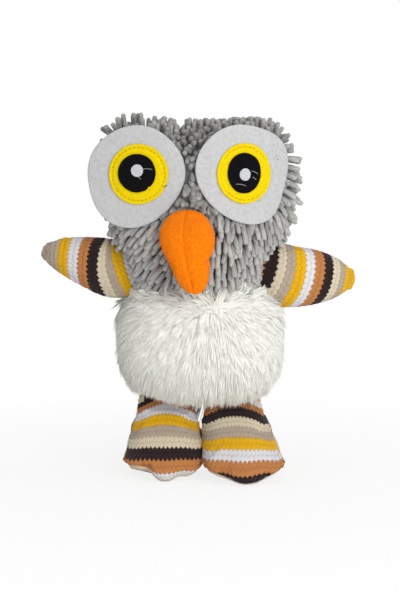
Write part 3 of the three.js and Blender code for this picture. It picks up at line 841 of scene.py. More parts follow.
# %% Fur roots and flow
lock_gap, lock_jitter, root_depth = 3.3, 1.5, 3.2
fur_row, fur_angle = rows_of_roots(0.3, waist_row - 0.03, lock_gap, lock_gap, lock_jitter)
fur_surface, fur_normals, fur_downs = directions(fur_row, fur_angle)
fur_roots = fur_surface - root_depth * fur_normals
place = fur_surface - body_middle
facing = -fur_normals[:, 1]
crown_of_fur = np.array([16.0, -60.0, 157.0])
away = unit(across_only(place - crown_of_fur, fur_normals))
fan = 0.8 * smoothstep(facing, -0.1, 0.5)[:, None]
near_crown = np.exp(-np.sum((place - crown_of_fur) ** 2, 1) / 22.0**2)
flow = fur_downs * (1.05 - fan) + away * fan
flow = flow + random.normal(0, 1, place.shape) * (0.1 + 0.28 * near_crown)[:, None]
wisps = 1.3 * random.uniform(0, 1, len(place)) ** 1.5 * smoothstep(place[:, 2], 150, 161)
flow = unit(across_only(flow - wisps[:, None] * fur_downs, fur_normals))
high = place[:, 2]
short_left = 1 - 0.3 * smoothstep(place[:, 0], -15, -35) * smoothstep(high, 95, 80)
fur_length = short_left * np.interp(high, [70, 80, 95, 120, 150, 163], [9, 13, 18, 20, 17, 12])
fur_length = fur_length * random.uniform(0.85, 1.12, len(place))
fur_lift = np.interp(high, [70, 90, 140, 163], [2, 3.2, 3.8, 5.5])
fur_lift = fur_lift * random.uniform(0.6, 1.4, len(place))
fur_lift = fur_lift * np.interp(facing, [0, 0.6], [0.6, 1.0])
fur_lift = fur_lift * np.interp(place[:, 0], [-74, -50], [0.4, 1.0])
fur_hang = np.interp(high, [70, 85, 110], [0.9, 0.6, 0.1])
between_legs = (np.abs(place[:, 0] - 0.5) < 6) & (high < 76) & (np.abs(place[:, 1] - 1) < 9)
fur_lift = np.where(between_legs, 33.0, fur_lift)
fur_length = np.where(between_legs, 14.0, fur_length)

# %% Fur pieces
# The belly is shared out so that each piece stays a handy mesh
front, left, low = facing >= 0.14, place[:, 0] < 3, high < 112
groups = {
    "front_left": front & left,
    "front_right": front & ~left,
    "back_left_low": ~front & left & low,
    "back_right_low": ~front & ~left & low,
    "back_left_high": ~front & left & ~low,
    "back_right_high": ~front & ~left & ~low,
}
lock_values = (fur_roots, fur_normals, flow, fur_hang, fur_length, fur_lift)
lock_spread, strand_width, lock_pinch = 2.0, 0.5, 0.3
fur_pieces = []
for name, part in groups.items():
    parts = [values[part] for values in lock_values]
    strands_each = 14 if name.startswith("front") else 12
    *arrays, shade, soft = locks(*parts, strands_each, lock_spread, strand_width, lock_pinch)
    piece = make_piece(f"fur_{name}", *arrays, shade=shade)
    soft_normals(piece, soft, 0.95)
    fur_pieces.append(piece)
    print(piece.name, len(arrays[0]), "strands")

# %% [markdown]
# ## Striped knitted wings
# A wing is a stuffed cone of striped knitting, sewn in at the side of the chest. Its surface
# follows a profile from the tip to the root. The stitches are raised in the mesh itself, two rows
# to a stripe, and the same stitch counts are kept as the piece's UV map, so that the colours turn
# exactly on the stitches and show the real scalloped edges.

# %% Knit relief
stitch_pitch, wing_stitch_pitch = 3.8, 4.6
stitch_depth, wing_stitch_depth = 1.2, 1.3


def stitch_relief(stitch, row):
    """Height from 0 to 1 of a crocheted face: full on a stitch, lower along the lines between
    rows and between stitches, and 0 in the small holes where those lines meet. Every other row
    is moved by half a stitch."""
    rib = np.abs(np.sin(np.pi * row))
    bump = np.abs(np.sin(np.pi * (stitch + 0.5 * np.floor(row))))
    hole = (1 - rib**0.7) * (1 - bump**0.7)
    return 1 - 0.3 * (1 - rib**0.5) - 0.3 * (1 - bump**0.6) - 0.4 * hole


def knit_part(grid, stitch, row, relief_row, closed, depth):
    """One grid of a knitted skin, raised by the stitch relief along its outward directions: its
    points, faces, stitch and row counts at each corner, and relief."""
    relief = stitch_relief(stitch, relief_row)
    raised = grid + (depth * (relief - 0.7))[..., None] * outward(grid, closed)
    count, columns = grid.shape[:2]
    wide = columns if closed else columns - 1
    first, second = np.meshgrid(np.arange(count - 1), np.arange(wide), indexing="ij")
    corner_rows = np.stack([first, first, first + 1, first + 1], -1).reshape(-1)
    corner_columns = np.stack([second, second + 1, second + 1, second], -1).reshape(-1)
    if closed:
        step = stitch[:, :1] + (stitch[:, 1:2] - stitch[:, :1]) * columns
        stitch = np.concatenate([stitch, step], 1)
        row = np.concatenate([row, row[:, :1]], 1)
    uv = np.stack([stitch[corner_rows, corner_columns], row[corner_rows, corner_columns]], -1)
    return raised.reshape(-1, 3), grid_faces(count, columns, closed), uv, relief.reshape(-1)


def knitted(name, *parts):
    """One piece from knitted parts that meet, welded. The UV map holds the stitch and row counts,
    and shade holds the relief, which the knit material turns into painted shade in the yarn's gaps."""
    points, faces, uvs, reliefs = zip(*parts)
    starts = np.cumsum([0] + [len(some) for some in points[:-1]])
    faces = np.concatenate([some + start for some, start in zip(faces, starts)])
    marks = {"uv": np.concatenate(uvs), "shade": np.concatenate(reliefs)}
    return welded(make_piece(name, np.concatenate(points), faces, **marks), 0.005)


# %% [markdown]
# Stuffing presses a sewn skin outwards, the seams hold it, and between them the cloth swells and
# takes small uneven hollows. A short cloth simulation of a coarse copy gives that: the copy is
# held at its seams, its cloth is a little larger than its shape, and pressure fills it. What
# each point moved is then read along smooth curves by the fine skin, which gets its stitches
# afterwards.

# %% Cloth simulation


def swollen(grid, held, last, cap):
    """How far each point of a coarse grid moves in a cloth simulation, in millimetres. held marks
    the points that seams hold. The pole and the rings after the last one stay out of the trial,
    as points that lie together stop the solver. The mean swelling is taken off, so the piece
    keeps its size, and what is left is brought down to the cap: cap times the hyperbolic tangent
    of the move over the cap."""
    shift = np.zeros(grid.shape)
    held = held | np.zeros(grid.shape[:2], bool)
    inner, inner_held = grid[1 : last + 1], held[1 : last + 1].copy()
    inner_held[[0, -1]] = True
    trial = make_piece("trial_cloth", inner, grid_faces(*inner.shape[:2], True))
    group = trial.vertex_groups.new(name="seams")
    group.add(np.flatnonzero(inner_held.ravel()).tolist(), 1.0, "REPLACE")
    cloth = trial.modifiers.new("Cloth", "CLOTH").settings
    cloth.vertex_group_mass = "seams"
    cloth.mass = cloth_mass
    cloth.use_pressure = True
    cloth.uniform_pressure_force = cloth_pressure
    cloth.effector_weights.gravity = 0.0
    cloth.shrink_min = -cloth_spare
    cloth.bending_stiffness = cloth_bend
    scene = bpy.context.scene
    for frame_number in range(1, cloth_frames + 1):
        scene.frame_set(frame_number)
    graph = bpy.context.evaluated_depsgraph_get()
    settled = bpy.data.meshes.new_from_object(trial.evaluated_get(graph))
    places = np.empty(inner.size, np.float32)
    settled.vertices.foreach_get("co", places)
    bpy.data.objects.remove(trial)
    bpy.data.meshes.remove(settled)
    scene.frame_set(1)
    moved = 1000 * places.reshape(inner.shape).astype(float) - inner
    normal = outward(inner)
    mean_out = np.sum(moved * normal, -1)[~inner_held].mean()
    moved = moved - (mean_out * ~inner_held)[..., None] * normal
    size = np.maximum(np.linalg.norm(moved, axis=-1, keepdims=True), 1e-9)
    shift[1 : last + 1] = moved / size * cap * np.tanh(size / cap)
    print("cloth swelled by", mean_out.round(2), "mm, uneven by", size.max().round(2), "mm")
    return shift


def carried(shift, row_place, turn_share):
    """The shifts of a coarse grid read along smooth curves, at places among its rows and at
    shares of the full turn."""
    count, columns = shift.shape[:2]
    ends = np.concatenate([shift[:1], shift, shift[-1:]]).reshape(count + 2, -1)
    fine = through(ends, np.ravel(row_place)).reshape(-1, columns, 3).swapaxes(0, 1)
    around = np.concatenate([fine[-1:], fine, fine[:2]]).reshape(columns + 3, -1)
    turns = np.ravel(turn_share) * columns
    return through(around, turns).reshape(len(turns), -1, 3).swapaxes(0, 1)


cloth_spare, cloth_pressure, cloth_bend, cloth_mass, cloth_frames = 0.03, 60.0, 0.5, 0.05, 20
swell_cap = 1.8

# %% Wing builder


def build_wing(name, edges, rows_at, relief_rows, slant, bow):
    """One wing. edges are the stripes' edges as distances from the hinge line along the middle,
    rows_at the colour rows there, relief_rows the stitch rows there, slant is how much further
    out an edge lies at the top, and bow how far it bends back to the root at top and bottom."""
    side, rise = wings[name]
    end, coarse_steps = wing_root + 1, 4
    rows, angles = evenly(0.0, end, 200), full_turn(288)
    profile = padded_rows(wing_rows[name], turned=(1, 2))
    local, long, high = wing_grid(profile, rise, rows, angles)
    origin, axes = hinge_axes(side, f"{name}_wing_swing")
    coarse_rows = evenly(0.0, end, round(coarse_steps * end) + 1)
    coarse, coarse_long, _ = wing_grid(profile, rise, coarse_rows, full_turn(32))
    last = round(coarse_steps * wing_root)
    shift = swollen(coarse, (coarse_long < 0.0) | (coarse_long > 0.99), last, swell_cap)
    local = local + carried(shift, rows * coarse_steps, angles / (2 * np.pi))
    grid = local @ axes + origin
    away = long * wing_length - slant * high * wing_high + bow * high**2
    row, relief_row = np.interp(away, edges, rows_at), np.interp(away, edges, relief_rows)
    around = 2 * np.pi * np.sqrt((wing_high**2 + wing_deep**2) / 2)
    stitches = round(around / wing_stitch_pitch)
    stitch = np.broadcast_to(stitches * angles / (2 * np.pi), row.shape)
    fade = smoothstep(1 - long, 0.01, 0.16) * smoothstep(rows, wing_root, wing_root - 0.2)
    depth = wing_stitch_depth * fade
    return knitted(f"{name}_wing_knit", knit_part(grid, stitch, row, relief_row, True, depth))


# %% [markdown]
# The stripe cycle is dark, cream, taupe, yellow, white, tan, two rows each, and row 0 is the
# start of a dark stripe. On the right wing it runs from the root out, on the left one from the
# tip in, where the last taupe stripe is twice as long.

# %% Both wings
right_edges = [-30, -12.5, -1.8, 5.6, 14.3, 24.2, 32.4, 42.0, 50.4, 57.8, 62.8, 80]
left_edges = [-30, -18.5, -8.5, 2.2, 10.8, 18.8, 28.7, 38.0, 47.9, 57.8, 76.2, 76.4, 81]
right_rows = 2.0 * np.arange(12) - 2
left_rows = np.array([12.8, 10, 8, 6, 4, 2, 0, -2, -4, -6, -7.8, -10.2, -11.8])
right_relief, left_relief = right_rows.copy(), left_rows.copy()
right_relief[-2:] = [17, 20]
left_relief[-3:] = [-10, -10.05, -11]
right_wing = build_wing("right", right_edges, right_rows, right_relief, 0.15, 4.0)
left_wing = build_wing("left", left_edges, left_rows, left_relief, 0.19, 1.5)
print("wings", len(right_wing.data.polygons), len(left_wing.data.polygons), "faces")

# %% [markdown]
# ## Striped knitted boots
# Each leg is a stuffed boot with three toes: a front panel over the instep and a back panel that
# also makes the sole, so their seam runs down the sides and round the toe edge. Both panels are
# cut from one surface, and each is drawn in along the seam, as sewing does. The cloth of a panel
# is 1.4 mm thick, which the wall modifier gives it on its inner side.

# %% Leg shape
hip_high, foot_half, heel_reach = 64.0, 34.0, 30.0
rim_row, back_row_height, wall_thickness = 2.7, 4.5, 1.4
leg_square, leg_shank = 2.8, 0.38
# Each row: share of the height, half-width, front, back, share of the toe shape
leg_rows = [
    [0, 0.66, 0.76, 0.4, 0.6], [0.012, 0.82, 0.91, 0.66, 0.8], [0.04, 0.92, 0.98, 0.85, 0.95],
    [0.09, 0.98, 1.0, 0.95, 1], [0.16, 1.01, 1.0, 0.98, 1],
    [0.24, 1.01, 0.92, 1.01, 0.75], [0.38, 0.98, 0.78, 0.99, 0.45],
    [0.6, 0.9, 0.55, 0.88, 0.15], [0.82, 0.8, 0.33, 0.74, 0],
]
hip_row = len(leg_rows) + 1


def leg_profile(toe_reach, toe_shift):
    """Rows in millimetres from the sole's middle to the hip: height, half-width, how far forward
    the widest line lies, front, back, share of the toe shape and sideways middle."""
    rows = []
    for up, wide, front, back, toes in leg_rows:
        middle = toe_shift * min(1, (1 - up) / (1 - leg_shank))
        bulge = 0.88 * min(1 - up, 0.9) * toe_reach * min(1, front + 0.08)
        reach = [bulge, front * toe_reach, back * heel_reach]
        rows.append([up * hip_high, wide * foot_half, *reach, toes, middle])
    sole = 0.3 * toe_reach
    rows.insert(0, [0, 0, sole, sole, -sole, 0, rows[0][6]])
    rows.append([hip_high, 25, 0, 10, 10, 0, 0])
    return padded_rows(rows, turned=(1,))


# Sideways places as shares of the half-width, and how high the toe edge lies there
toe_lifts = {
    "left_leg": (
        [-1, -0.84, -0.5, -0.37, -0.25, -0.1, 0.22, 0.4, 0.55, 0.75, 0.92, 1],
        [12.5, 13, 12.5, 10, 4.5, 0.5, 0, 3.5, 5.5, 4.5, 6, 9],
    ),
    "right_leg": (
        [-1, -0.76, -0.46, -0.2, 0.05, 0.38, 0.5, 0.62, 0.8, 0.95, 1],
        [11, 8, 5, 2, 0, 0, 2, 5.5, 8, 11, 13],
    ),
}
lobe_depth, dent_depth = 0.11, 0.06


def leg_grid(profile, rows, angles, flare, lifts, toe_lean):
    """A leg's skin with its hinge at z 64: squared circles whose front half bulges to a toe edge
    of three lobes before the widest line, and whose back half runs to the heel. The toe edge
    rises by the lifts, read across the foot, the flare widens the foot left and right, and the
    leg's inner side, away from where the toes lean, bulges a little."""
    values = np.moveaxis(through(profile, np.minimum(rows, hip_row)), -1, 0)
    up, wide, bulge, front, back, toes, middle = values
    over = np.clip(rows - hip_row, 0, 1) * np.pi / 2
    across, along = squared_circle(angles, leg_square)
    forward = np.maximum(0, -along)
    outer = smoothstep(np.abs(across), 0.25, 0.6)
    low = np.maximum(0, 1 - up / (leg_shank * hip_high))
    dents = 1 - np.abs(np.cos(1.5 * np.pi * across))
    plan = 1 - toes * (lobe_depth * outer + dent_depth * dents)
    edge = bulge * (1 - toes * (lobe_depth + dent_depth))
    y_front = -(bulge * (1 - forward) + front * forward) * plan
    y_back = -edge * (1 - along) + back * along
    y = np.where(along > 0, y_back, y_front)
    x = middle + wide * across * (1 + np.where(across > 0, flare[1], flare[0]) * low)
    inner = -np.sign(toe_lean)
    swell = smoothstep(up, 12, 30) * smoothstep(up, 64, 54) * smoothstep(y, -2, -14)
    x = x + 1.9 * inner * smoothstep(inner * across, 0.2, 1.0) * swell
    lift = sum(np.interp(across + shift, *lifts) for shift in (-0.07, 0, 0.07)) / 3
    z = up + lift * low * toes * smoothstep(y, 0, -35)
    top_y, top_z = y * np.cos(over), z + np.abs(y) * np.sin(over)
    return np.stack([x, top_y, np.maximum(top_z, 0.0)], -1), across + 0 * up, z + 0 * across


def build_leg(name, toe_reach, toe_shift, flare, heights, rows_at, back_row):
    """Both panels of one boot. heights are the stripes' edges on the middle of the front panel,
    and rows_at the row counts there; the edges drop towards the sides, more so higher up. The
    back panel has the back of the leg and the whole sole."""
    profile = leg_profile(toe_reach, toe_shift)
    origin = joint_place(f"{name}_swing") * [1, 1, 0]
    seam_depth, seam_wide, half, coarse_columns = 1.2, 1.6, 160, 48
    back_stitches, sole_colour_rounds, sole_rounds = 22, 0.5, 3.0
    shape = (flare, toe_lifts[name], toe_shift)
    top, free_top = hip_row + 1, hip_row - 0.5
    coarse_rows = np.concatenate([evenly(0, rim_row, 8), evenly(rim_row, top, 30)[1:]])
    coarse = leg_grid(profile, coarse_rows, full_turn(coarse_columns), *shape)[0]
    at_sides = (np.arange(coarse_columns) % (coarse_columns // 2) == 0)[None, :]
    held = (coarse_rows <= rim_row) | at_sides | (coarse_rows > free_top)
    shift = swollen(coarse, held, int(np.sum(coarse_rows < free_top)), swell_cap)
    panel_rows = evenly(rim_row, top, 160)
    panels = {
        "front": (panel_rows, np.linspace(np.pi, 2 * np.pi, half + 1)[None, :]),
        "back": (panel_rows, np.linspace(0, np.pi, half + 1)[None, :]),
        "sole": (evenly(0.0, rim_row, 60), full_turn(2 * half)),
    }
    parts = {}
    for panel, (rows, angles) in panels.items():
        closed = panel == "sole"
        local, across, up = leg_grid(profile, rows, angles, *shape)
        coarse_place = np.interp(rows, coarse_rows[:, 0], np.arange(len(coarse_rows)))
        grid = local + carried(shift, coarse_place, angles / (2 * np.pi)) + origin
        if closed:
            ahead = (angles[0] > np.pi)[:, None]
            seams = [np.where(ahead, grid[-1], corner) for corner in (grid[-1, 0], grid[-1, half])]
        else:
            seams = [grid[:, :1], grid[:, -1:]] + ([grid[:1]] if panel == "front" else [])
        from_seam = np.min([np.linalg.norm(grid - seam, axis=-1) for seam in seams], 0)
        drawn_in = seam_depth * bell(from_seam, seam_wide)
        grid = grid - drawn_in[..., None] * outward(grid, closed)
        if panel == "front":
            arch = 0.29 * np.maximum(up - 22, 0) * across**2
            row = relief_row = np.interp(up + arch, heights, rows_at)
            stitch = across * foot_half / stitch_pitch
        else:
            height = through(profile, rows)[..., 0]
            over = (height - through(profile, rim_row)[0]) / back_row_height
            row, relief_row = (
                back_row + np.where(rows < rim_row, (rows - rim_row) * rounds, over) + 0 * across
                for rounds in (sole_colour_rounds, sole_rounds)
            )
            stitch = back_stitches * angles / np.pi + 0 * row
        depth = stitch_depth * smoothstep(from_seam, 0, 2.5)
        parts[panel] = knit_part(grid, stitch, row, relief_row, closed, depth)
    boot = {
        "front": knitted(f"{name}_front_knit", parts["front"]),
        "back": knitted(f"{name}_back_knit", parts["back"], parts["sole"]),
    }
    for piece in boot.values():
        wall = piece.modifiers.new("wall", "SOLIDIFY")
        wall.thickness, wall.offset = wall_thickness / 1000, -1.0
    return boot


# %% Both boots
left_heights = [-8, 1.6, 9.1, 18.9, 27.8, 36.4, 44.6, 53.4, 62, 67, 77]
right_heights = [-8, 1.6, 9.8, 19.8, 27.8, 36.6, 44.7, 52.0, 60.5, 77]
left_rows_at, right_rows_at = 6 + 2.0 * np.arange(11), 28 - 2.0 * np.arange(10)
left_rows_at[-1], right_rows_at[-1] = 28, 7
boots = {
    "left": build_leg("left_leg", 62.0, -2.2, (0.03, 0.02), left_heights, left_rows_at, 3.4),
    "right": build_leg("right_leg", 77.0, 7.7, (0.02, 0.16), right_heights, right_rows_at, 2.8),
}
print("boot panels", [piece.name for boot in boots.values() for piece in boot.values()])

# %% [markdown]
# ## Orange plush beak
# The beak is a stuffed teardrop of two short-pile panels, sewn together down the middle and sewn
# on at its top. The seam pulls both panels in, and their pile is brushed downwards.

# %% Beak shape
beak_seam_share = -0.13


def beak_grid(rows, angles):
    """The beak's skin: circles along a line that reaches forward and leans to the right at the
    tip, drawn in along the middle seam."""
    long, wide, reach, deep = np.moveaxis(through(beak_profile, rows), -1, 0)
    across, along = np.cos(angles), np.sin(angles)
    x = beak_shift * long**2 + wide * beak_wide * (across + 0.06 * np.minimum(across, 0))
    x = x - 1.5 * bell(long - 0.56, 0.045) * smoothstep(across, 0.4, 1.0)
    seam = 1.7 * bell(across - beak_seam_share, 0.1) * smoothstep(wide, 0.1, 0.5)
    y = -reach * beak_reach + deep * beak_deep * along - np.sign(along) * seam
    return np.stack([x, y, -long * beak_length + 0 * x], -1)


beak_end, coarse_steps, beak_cap = len(beak_rows) - 1, 3, 1.5
coarse_angles, beak_angles = full_turn(32), full_turn(180)
beak_places = evenly(0, beak_end, 150)
coarse = beak_grid(evenly(0, beak_end, coarse_steps * beak_end + 1), coarse_angles)
held = (coarse[..., 2] > -3) | (coarse[..., 2] < 2 - beak_length)
held = held | (np.abs(np.cos(coarse_angles)) < 0.01)
shift = swollen(coarse, held, coarse_steps * beak_end - 1, beak_cap)
moved = carried(shift, coarse_steps * beak_places, beak_angles / (2 * np.pi))
beak_surface = beak_grid(beak_places, beak_angles) + moved + beak_place
# Painted shade: the tone is a quarter darker along the middle seam, as shade in its crease.
seam_crease_painted_shade = bell(np.cos(beak_angles) - beak_seam_share, 0.03)
beak_painted_shade = 1 - 0.25 * seam_crease_painted_shade + 0 * beak_surface[..., 0]
beak_faces = grid_faces(*beak_surface.shape[:2], True)
beak = welded(make_piece("beak_plush", beak_surface, beak_faces, shade=beak_painted_shade))
print("beak", len(beak.data.polygons), "faces")

# %% [markdown]
# ## Felt eyes
# Each eye is four discs of pressed felt on one another. They are cut from a flat sheet and bent
# round the head together. The cut edges are square and a little uneven, the yellow disc is sewn
# down with a ring of small stitches, and the left black one has a nick from the scissors.

# %% Felt discs


def on_bend(eye, arc, up, lift):
    """A point of an eye's bent sheet: the arc runs round an upright cylinder, up stays straight
    and the lift is the distance out of the sheet."""
    turn = arc / eye["bend"]
    right = (eye["bend"] + lift) * np.sin(turn)
    out = (eye["bend"] + lift) * np.cos(turn) - eye["bend"]
    flat = eye["place"] + right[..., None] * eye["right"] + out[..., None] * eye["out"]
    return flat + up[..., None] * eye["up"]


def felt_disc(name, eye, radius, back, thick, middle, outline, dome=None):
    """A disc of felt between two distances in front of the bend. Rings run from the middle of the
    back face to its edge, over the rounded edge and back to the middle of the front."""
    angles, rim = full_turn(128), [0.99, 1.0, 1.0, 0.99]
    share = np.concatenate([np.linspace(0, 0.97, 14), rim, np.linspace(0.97, 0, 24)])[:, None]
    level = np.concatenate([np.zeros(14), [0.06, 0.25, 0.75, 0.94], np.ones(24)])[:, None]
    edge = radius * (1 + outline(angles))
    arc = middle[0] + share * edge * np.cos(angles)
    up = middle[1] + share * edge * np.sin(angles)
    lift = back + thick * level
    if dome is not None:
        lift = lift + level * dome(share * edge)
    points = on_bend(eye, arc, up, lift + 0 * arc)
    return welded(make_piece(name, points, grid_faces(*points.shape[:2], True)[:, ::-1]), 0.005)


def uneven(seed, size):
    """Small waves of a hand-cut edge: a few sines of low counts with random phases."""
    counts = [2, 3, 5, 7, 11, 17]
    waves = list(zip(counts, np.random.default_rng(seed).uniform(0, 6.28, len(counts))))
    return lambda angles: size * sum(np.sin(c * angles + phase) / c**0.8 for c, phase in waves)


def nicked(angles):
    """The pupil's edge: small waves and one nick at the lower right."""
    return uneven(5, 0.012)(angles) - 0.075 * bell(angles - 1.72 * np.pi, 0.07)


def sewn_rim(radius):
    """Height of the yellow disc: drawn down along the ring of stitches near its edge."""
    return lambda distance: -0.7 * bell(distance - radius + 3.0, 0.9)


# %% Build the eyes
# Each felt's radius, how far its back lies over the bend, and its thickness
felt_sizes = {
    "pale": (eye_radius, 0, 2.0),
    "yellow": (26.0, 2.3, 1.6),
    "black": (16.5, 4.2, 1.4),
    "dot": (5.5, 5.9, 1.0),
}
# Where each felt's middle lies on the pale one, right and up, as shares of its radius
felt_middles = {
    "left": {"pale": (0, 0), "yellow": (0.058, 0.05), "black": (0.037, 0.07), "dot": (0.05, 0.12)},
    "right": {
        "pale": (0, 0), "yellow": (-0.036, 0.03), "black": (-0.061, 0.04), "dot": (-0.065, 0.01),
    },
}
# How much narrower than high each felt on the right eye is
squeeze = {"left": (0.0, 0.0, 0.0), "right": (0.06, 0.1, 0.1)}
felts = {}
for seed, (side, eye) in enumerate(eyes.items()):
    yellow_in, black_in, dot_in = squeeze[side]
    narrow = lambda angles: np.cos(angles) ** 2
    pupil = lambda angles: uneven(31, 0.016)(angles) + 0.05 - (0.05 + black_in) * narrow(angles)
    outlines = {
        "pale": lambda angles: eye_edge(eye, angles) / eye_radius - 1 + uneven(seed, 0.002)(angles),
        "yellow": lambda angles: uneven(seed + 10, 0.009)(angles) - yellow_in * narrow(angles),
        "black": nicked if side == "left" else pupil,
        "dot": lambda angles: uneven(seed + 40, 0.02)(angles) - 0.04 - dot_in * narrow(angles),
    }
    for part, (radius, back, thick) in felt_sizes.items():
        middle = [eye_radius * share for share in felt_middles[side][part]]
        sizes = (radius, back, thick, middle, outlines[part])
        dome = sewn_rim(radius) if part == "yellow" else None
        felts[side, part] = felt_disc(f"{side}_eye_{part}_felt", eye, *sizes, dome)
print("felt discs", len(felts))

# %% [markdown]
# The yellow disc is held by a ring of running stitches about 3 mm long. Some ends of sewing
# thread and lint cling to the felt. Each is a thin tube, like a noodle but finer, laid on the
# bend of its disc.

# %% Stitches and thread ends
thread_steps = np.array([0, 0.12, 0.4, 0.7, 0.9])
thread_girth, thread_sides = np.array([0.6, 1, 1, 1, 0.8]), 5


def threads(name, starts, ends, bow, thick):
    """Short threads from starts to ends: each sets out turned away from the straight line by its
    bow and comes back to it."""
    size = np.linalg.norm(ends - starts, axis=1)
    way = unit(ends - starts)
    length, radius = size * (1 + 0.5 * np.sum(bow**2, 1)), np.full(len(size), thick)
    lines = (starts, way + bow, way - bow, length, radius)
    return make_piece(name, *tubes(*lines, thread_steps, thread_girth, thread_sides, 1.0))


stitch_count, stitch_turn, stitch_height, ring_radius = 38, 0.115, 3.35, 23.0
stitch_pieces = []
for side, eye in eyes.items():
    arc_middle, up_middle = (eye_radius * share for share in felt_middles[side]["yellow"])
    turn = np.arange(stitch_count) / stitch_count * 2 * np.pi
    turn = turn + random.uniform(-0.02, 0.02, stitch_count)
    ends = []
    for angle in (turn, turn + stitch_turn):
        ring = ring_radius * (1 - squeeze[side][0] * np.cos(angle) ** 2)
        arc, up = arc_middle + ring * np.cos(angle), up_middle + ring * np.sin(angle)
        ends.append(on_bend(eye, arc, up, np.full(stitch_count, stitch_height)))
    bow = 0.12 * eye["out"] + np.zeros((stitch_count, 3))
    stitch_pieces.append(threads(f"{side}_eye_stitches", *ends, bow, 0.33))

# Each end of thread: side, height over the bend, start and end on the disc
on_black, on_yellow, on_pale = 5.95, 4.0, 2.3
thread_ends = {
    "pale": [
        ("left", on_black, (6.2, 6.4), (15.6, 6.0)), ("left", on_black, (2.9, 0.2), (5.3, -2.4)),
        ("right", on_black, (-10.8, -7.8), (-1.5, -9.6)),
        ("right", on_black, (3.2, 3.6), (9.2, 0.4)), ("right", on_black, (4.0, -1.8), (7.4, -4.2)),
    ],
    "dark": [
        ("left", on_yellow, (24.4, -9.0), (28.0, -7.4)),
        ("right", on_yellow, (11.5, -22.2), (12.3, -21.8)),
        ("right", on_pale, (31.0, 13.6), (31.8, 13.2)),
        ("right", on_pale, (29.0, 16.2), (29.5, 16.4)),
    ],
}
thread_radius = {"pale": 0.25, "dark": 0.35}
lint_pieces = {}
for kind, some in thread_ends.items():
    starts, ends = (
        np.array([on_bend(eyes[row[0]], *np.array(row[k]), np.array(row[1])) for row in some])
        for k in (2, 3)
    )
    bow = np.array([0.25 * eyes[row[0]]["up"] for row in some])
    name = f"eye_{kind}_thread_ends"
    lint_pieces[kind] = threads(name, starts, ends, bow, thread_radius[kind])
print("stitches and thread ends", len(stitch_pieces) + len(lint_pieces), "pieces")

# %% [markdown]
# ## Materials
# Each material is named for the real one. Colours are written as they look in even light, and
# patterns are in real sizes, so a noise scale of 650 gives grains about 1.5 mm wide. All of them
# are fibre cloths, so they share a few parts: noise, tones, and a rough surface to end with.

# %% Parts of a fibre material


def fibre_noise(tree, scale, detail, rough=0.5, stretch=1.0):
    """A noise in the piece's own coordinates, drawn out upwards where its stretch is under 1."""
    place_in = add_node(tree, "TexCoord").outputs["Object"]
    drawn = add_node(tree, "Mapping", {"Scale": (1.0, 1.0, stretch)}, {"Vector": place_in})
    settings = {"Scale": scale, "Detail": detail, "Roughness": rough}
    return add_node(tree, "TexNoise", settings, {"Vector": drawn.outputs[0]}).outputs[0]


def shade_of(tree):
    """The piece's own shade, a number for each of its points."""
    return add_node(tree, "Attribute", {"attribute_name": "shade"}).outputs["Fac"]


def two_tones(tree, source, low, high, places=(0.0, 1.0)):
    """A blend of two colours where a number goes from the first place to the second."""
    ramp = add_node(tree, "ValToRGB", {}, {"Fac": source})
    for stop, place, code in zip(ramp.color_ramp.elements, places, (low, high)):
        stop.position, stop.color = place, colour(code)
    return ramp.outputs["Color"]


def times(tree, tone, factor):
    """A tone multiplied by a factor."""
    settings = {"data_type": "RGBA", "blend_type": "MULTIPLY", 0: 1.0}
    return add_node(tree, "Mix", settings, {6: tone, 7: factor}).outputs[2]


def fibre_surface(tree, tone, rough, sheen, shine, bump=None, more=None):
    """The end of a material: a rough surface of one tone with the soft rim light of loose fibres.
    A bump is its height, its strength and its depth in metres."""
    settings = {"Roughness": rough, "IOR": 1.5, "Sheen Weight": sheen, "Specular IOR Level": shine}
    links = {"Base Color": tone}
    if bump:
        height, strength, depth = bump
        amounts = {"Strength": strength, "Distance": depth}
        links["Normal"] = add_node(tree, "Bump", amounts, {"Height": height}).outputs[0]
    skin = add_node(tree, "BsdfPrincipled", {**settings, **(more or {})}, links)
    add_node(tree, "OutputMaterial", {}, {"Surface": skin.outputs[0]})


# %% [markdown]
# Chenille first: cut fibres stand off a core yarn, so it is matt, has hardly a highlight and a
# soft light rim. A random tone for each noodle keeps neighbours apart, painted shade darkens each
# noodle at its root and the noodles between the eyes and on the crown, and a fine mottle breaks
# its surface up into tufts.

# %% Chenille
chenille, tree = new_material("polyester_chenille_cut_pile")
fuzz = fibre_noise(tree, 650.0, 3.0, 0.7)
tone = two_tones(tree, shade_of(tree), "#8e8d8a", "#c9c8c5")
tone = times(tree, tone, ranged(tree, fuzz, 0.3, 0.7, 0.7, 1.12))
fibre_surface(tree, tone, 0.95, 0.35, 0.1, (fuzz, 0.9, 0.001), {"Sheen Roughness": 0.5})

# %% [markdown]
# The fur is long acrylic pile, nearly white. Its strands are real geometry, so the material only
# gives them a faint sheen and a root that is slightly warmer and painted a little darker, as shade
# deep in the pile, and lets some light spread over a millimetre inside the locks, which softens
# their edges as in thick white pile.

# %% Fur
fur, tree = new_material("acrylic_long_pile_fur")
tone = two_tones(tree, shade_of(tree), "#fbfcf1", "#fffff7")
spread = {
    "Subsurface Weight": 0.12,
    "Subsurface Radius": (1.0, 1.0, 0.97),
    "Subsurface Scale": 0.001,
}
fibre_surface(tree, tone, 0.7, 0.15, 0.3, more=spread)

# %% [markdown]
# The knit's colours come from its stitch and row counts. The edge between two stripes is moved
# by the sine of the stitch count, which makes the teeth of a crocheted edge. The grooves between
# stitches are darker, as little light gets into them, and a fine noise gives the yarn its fuzz.

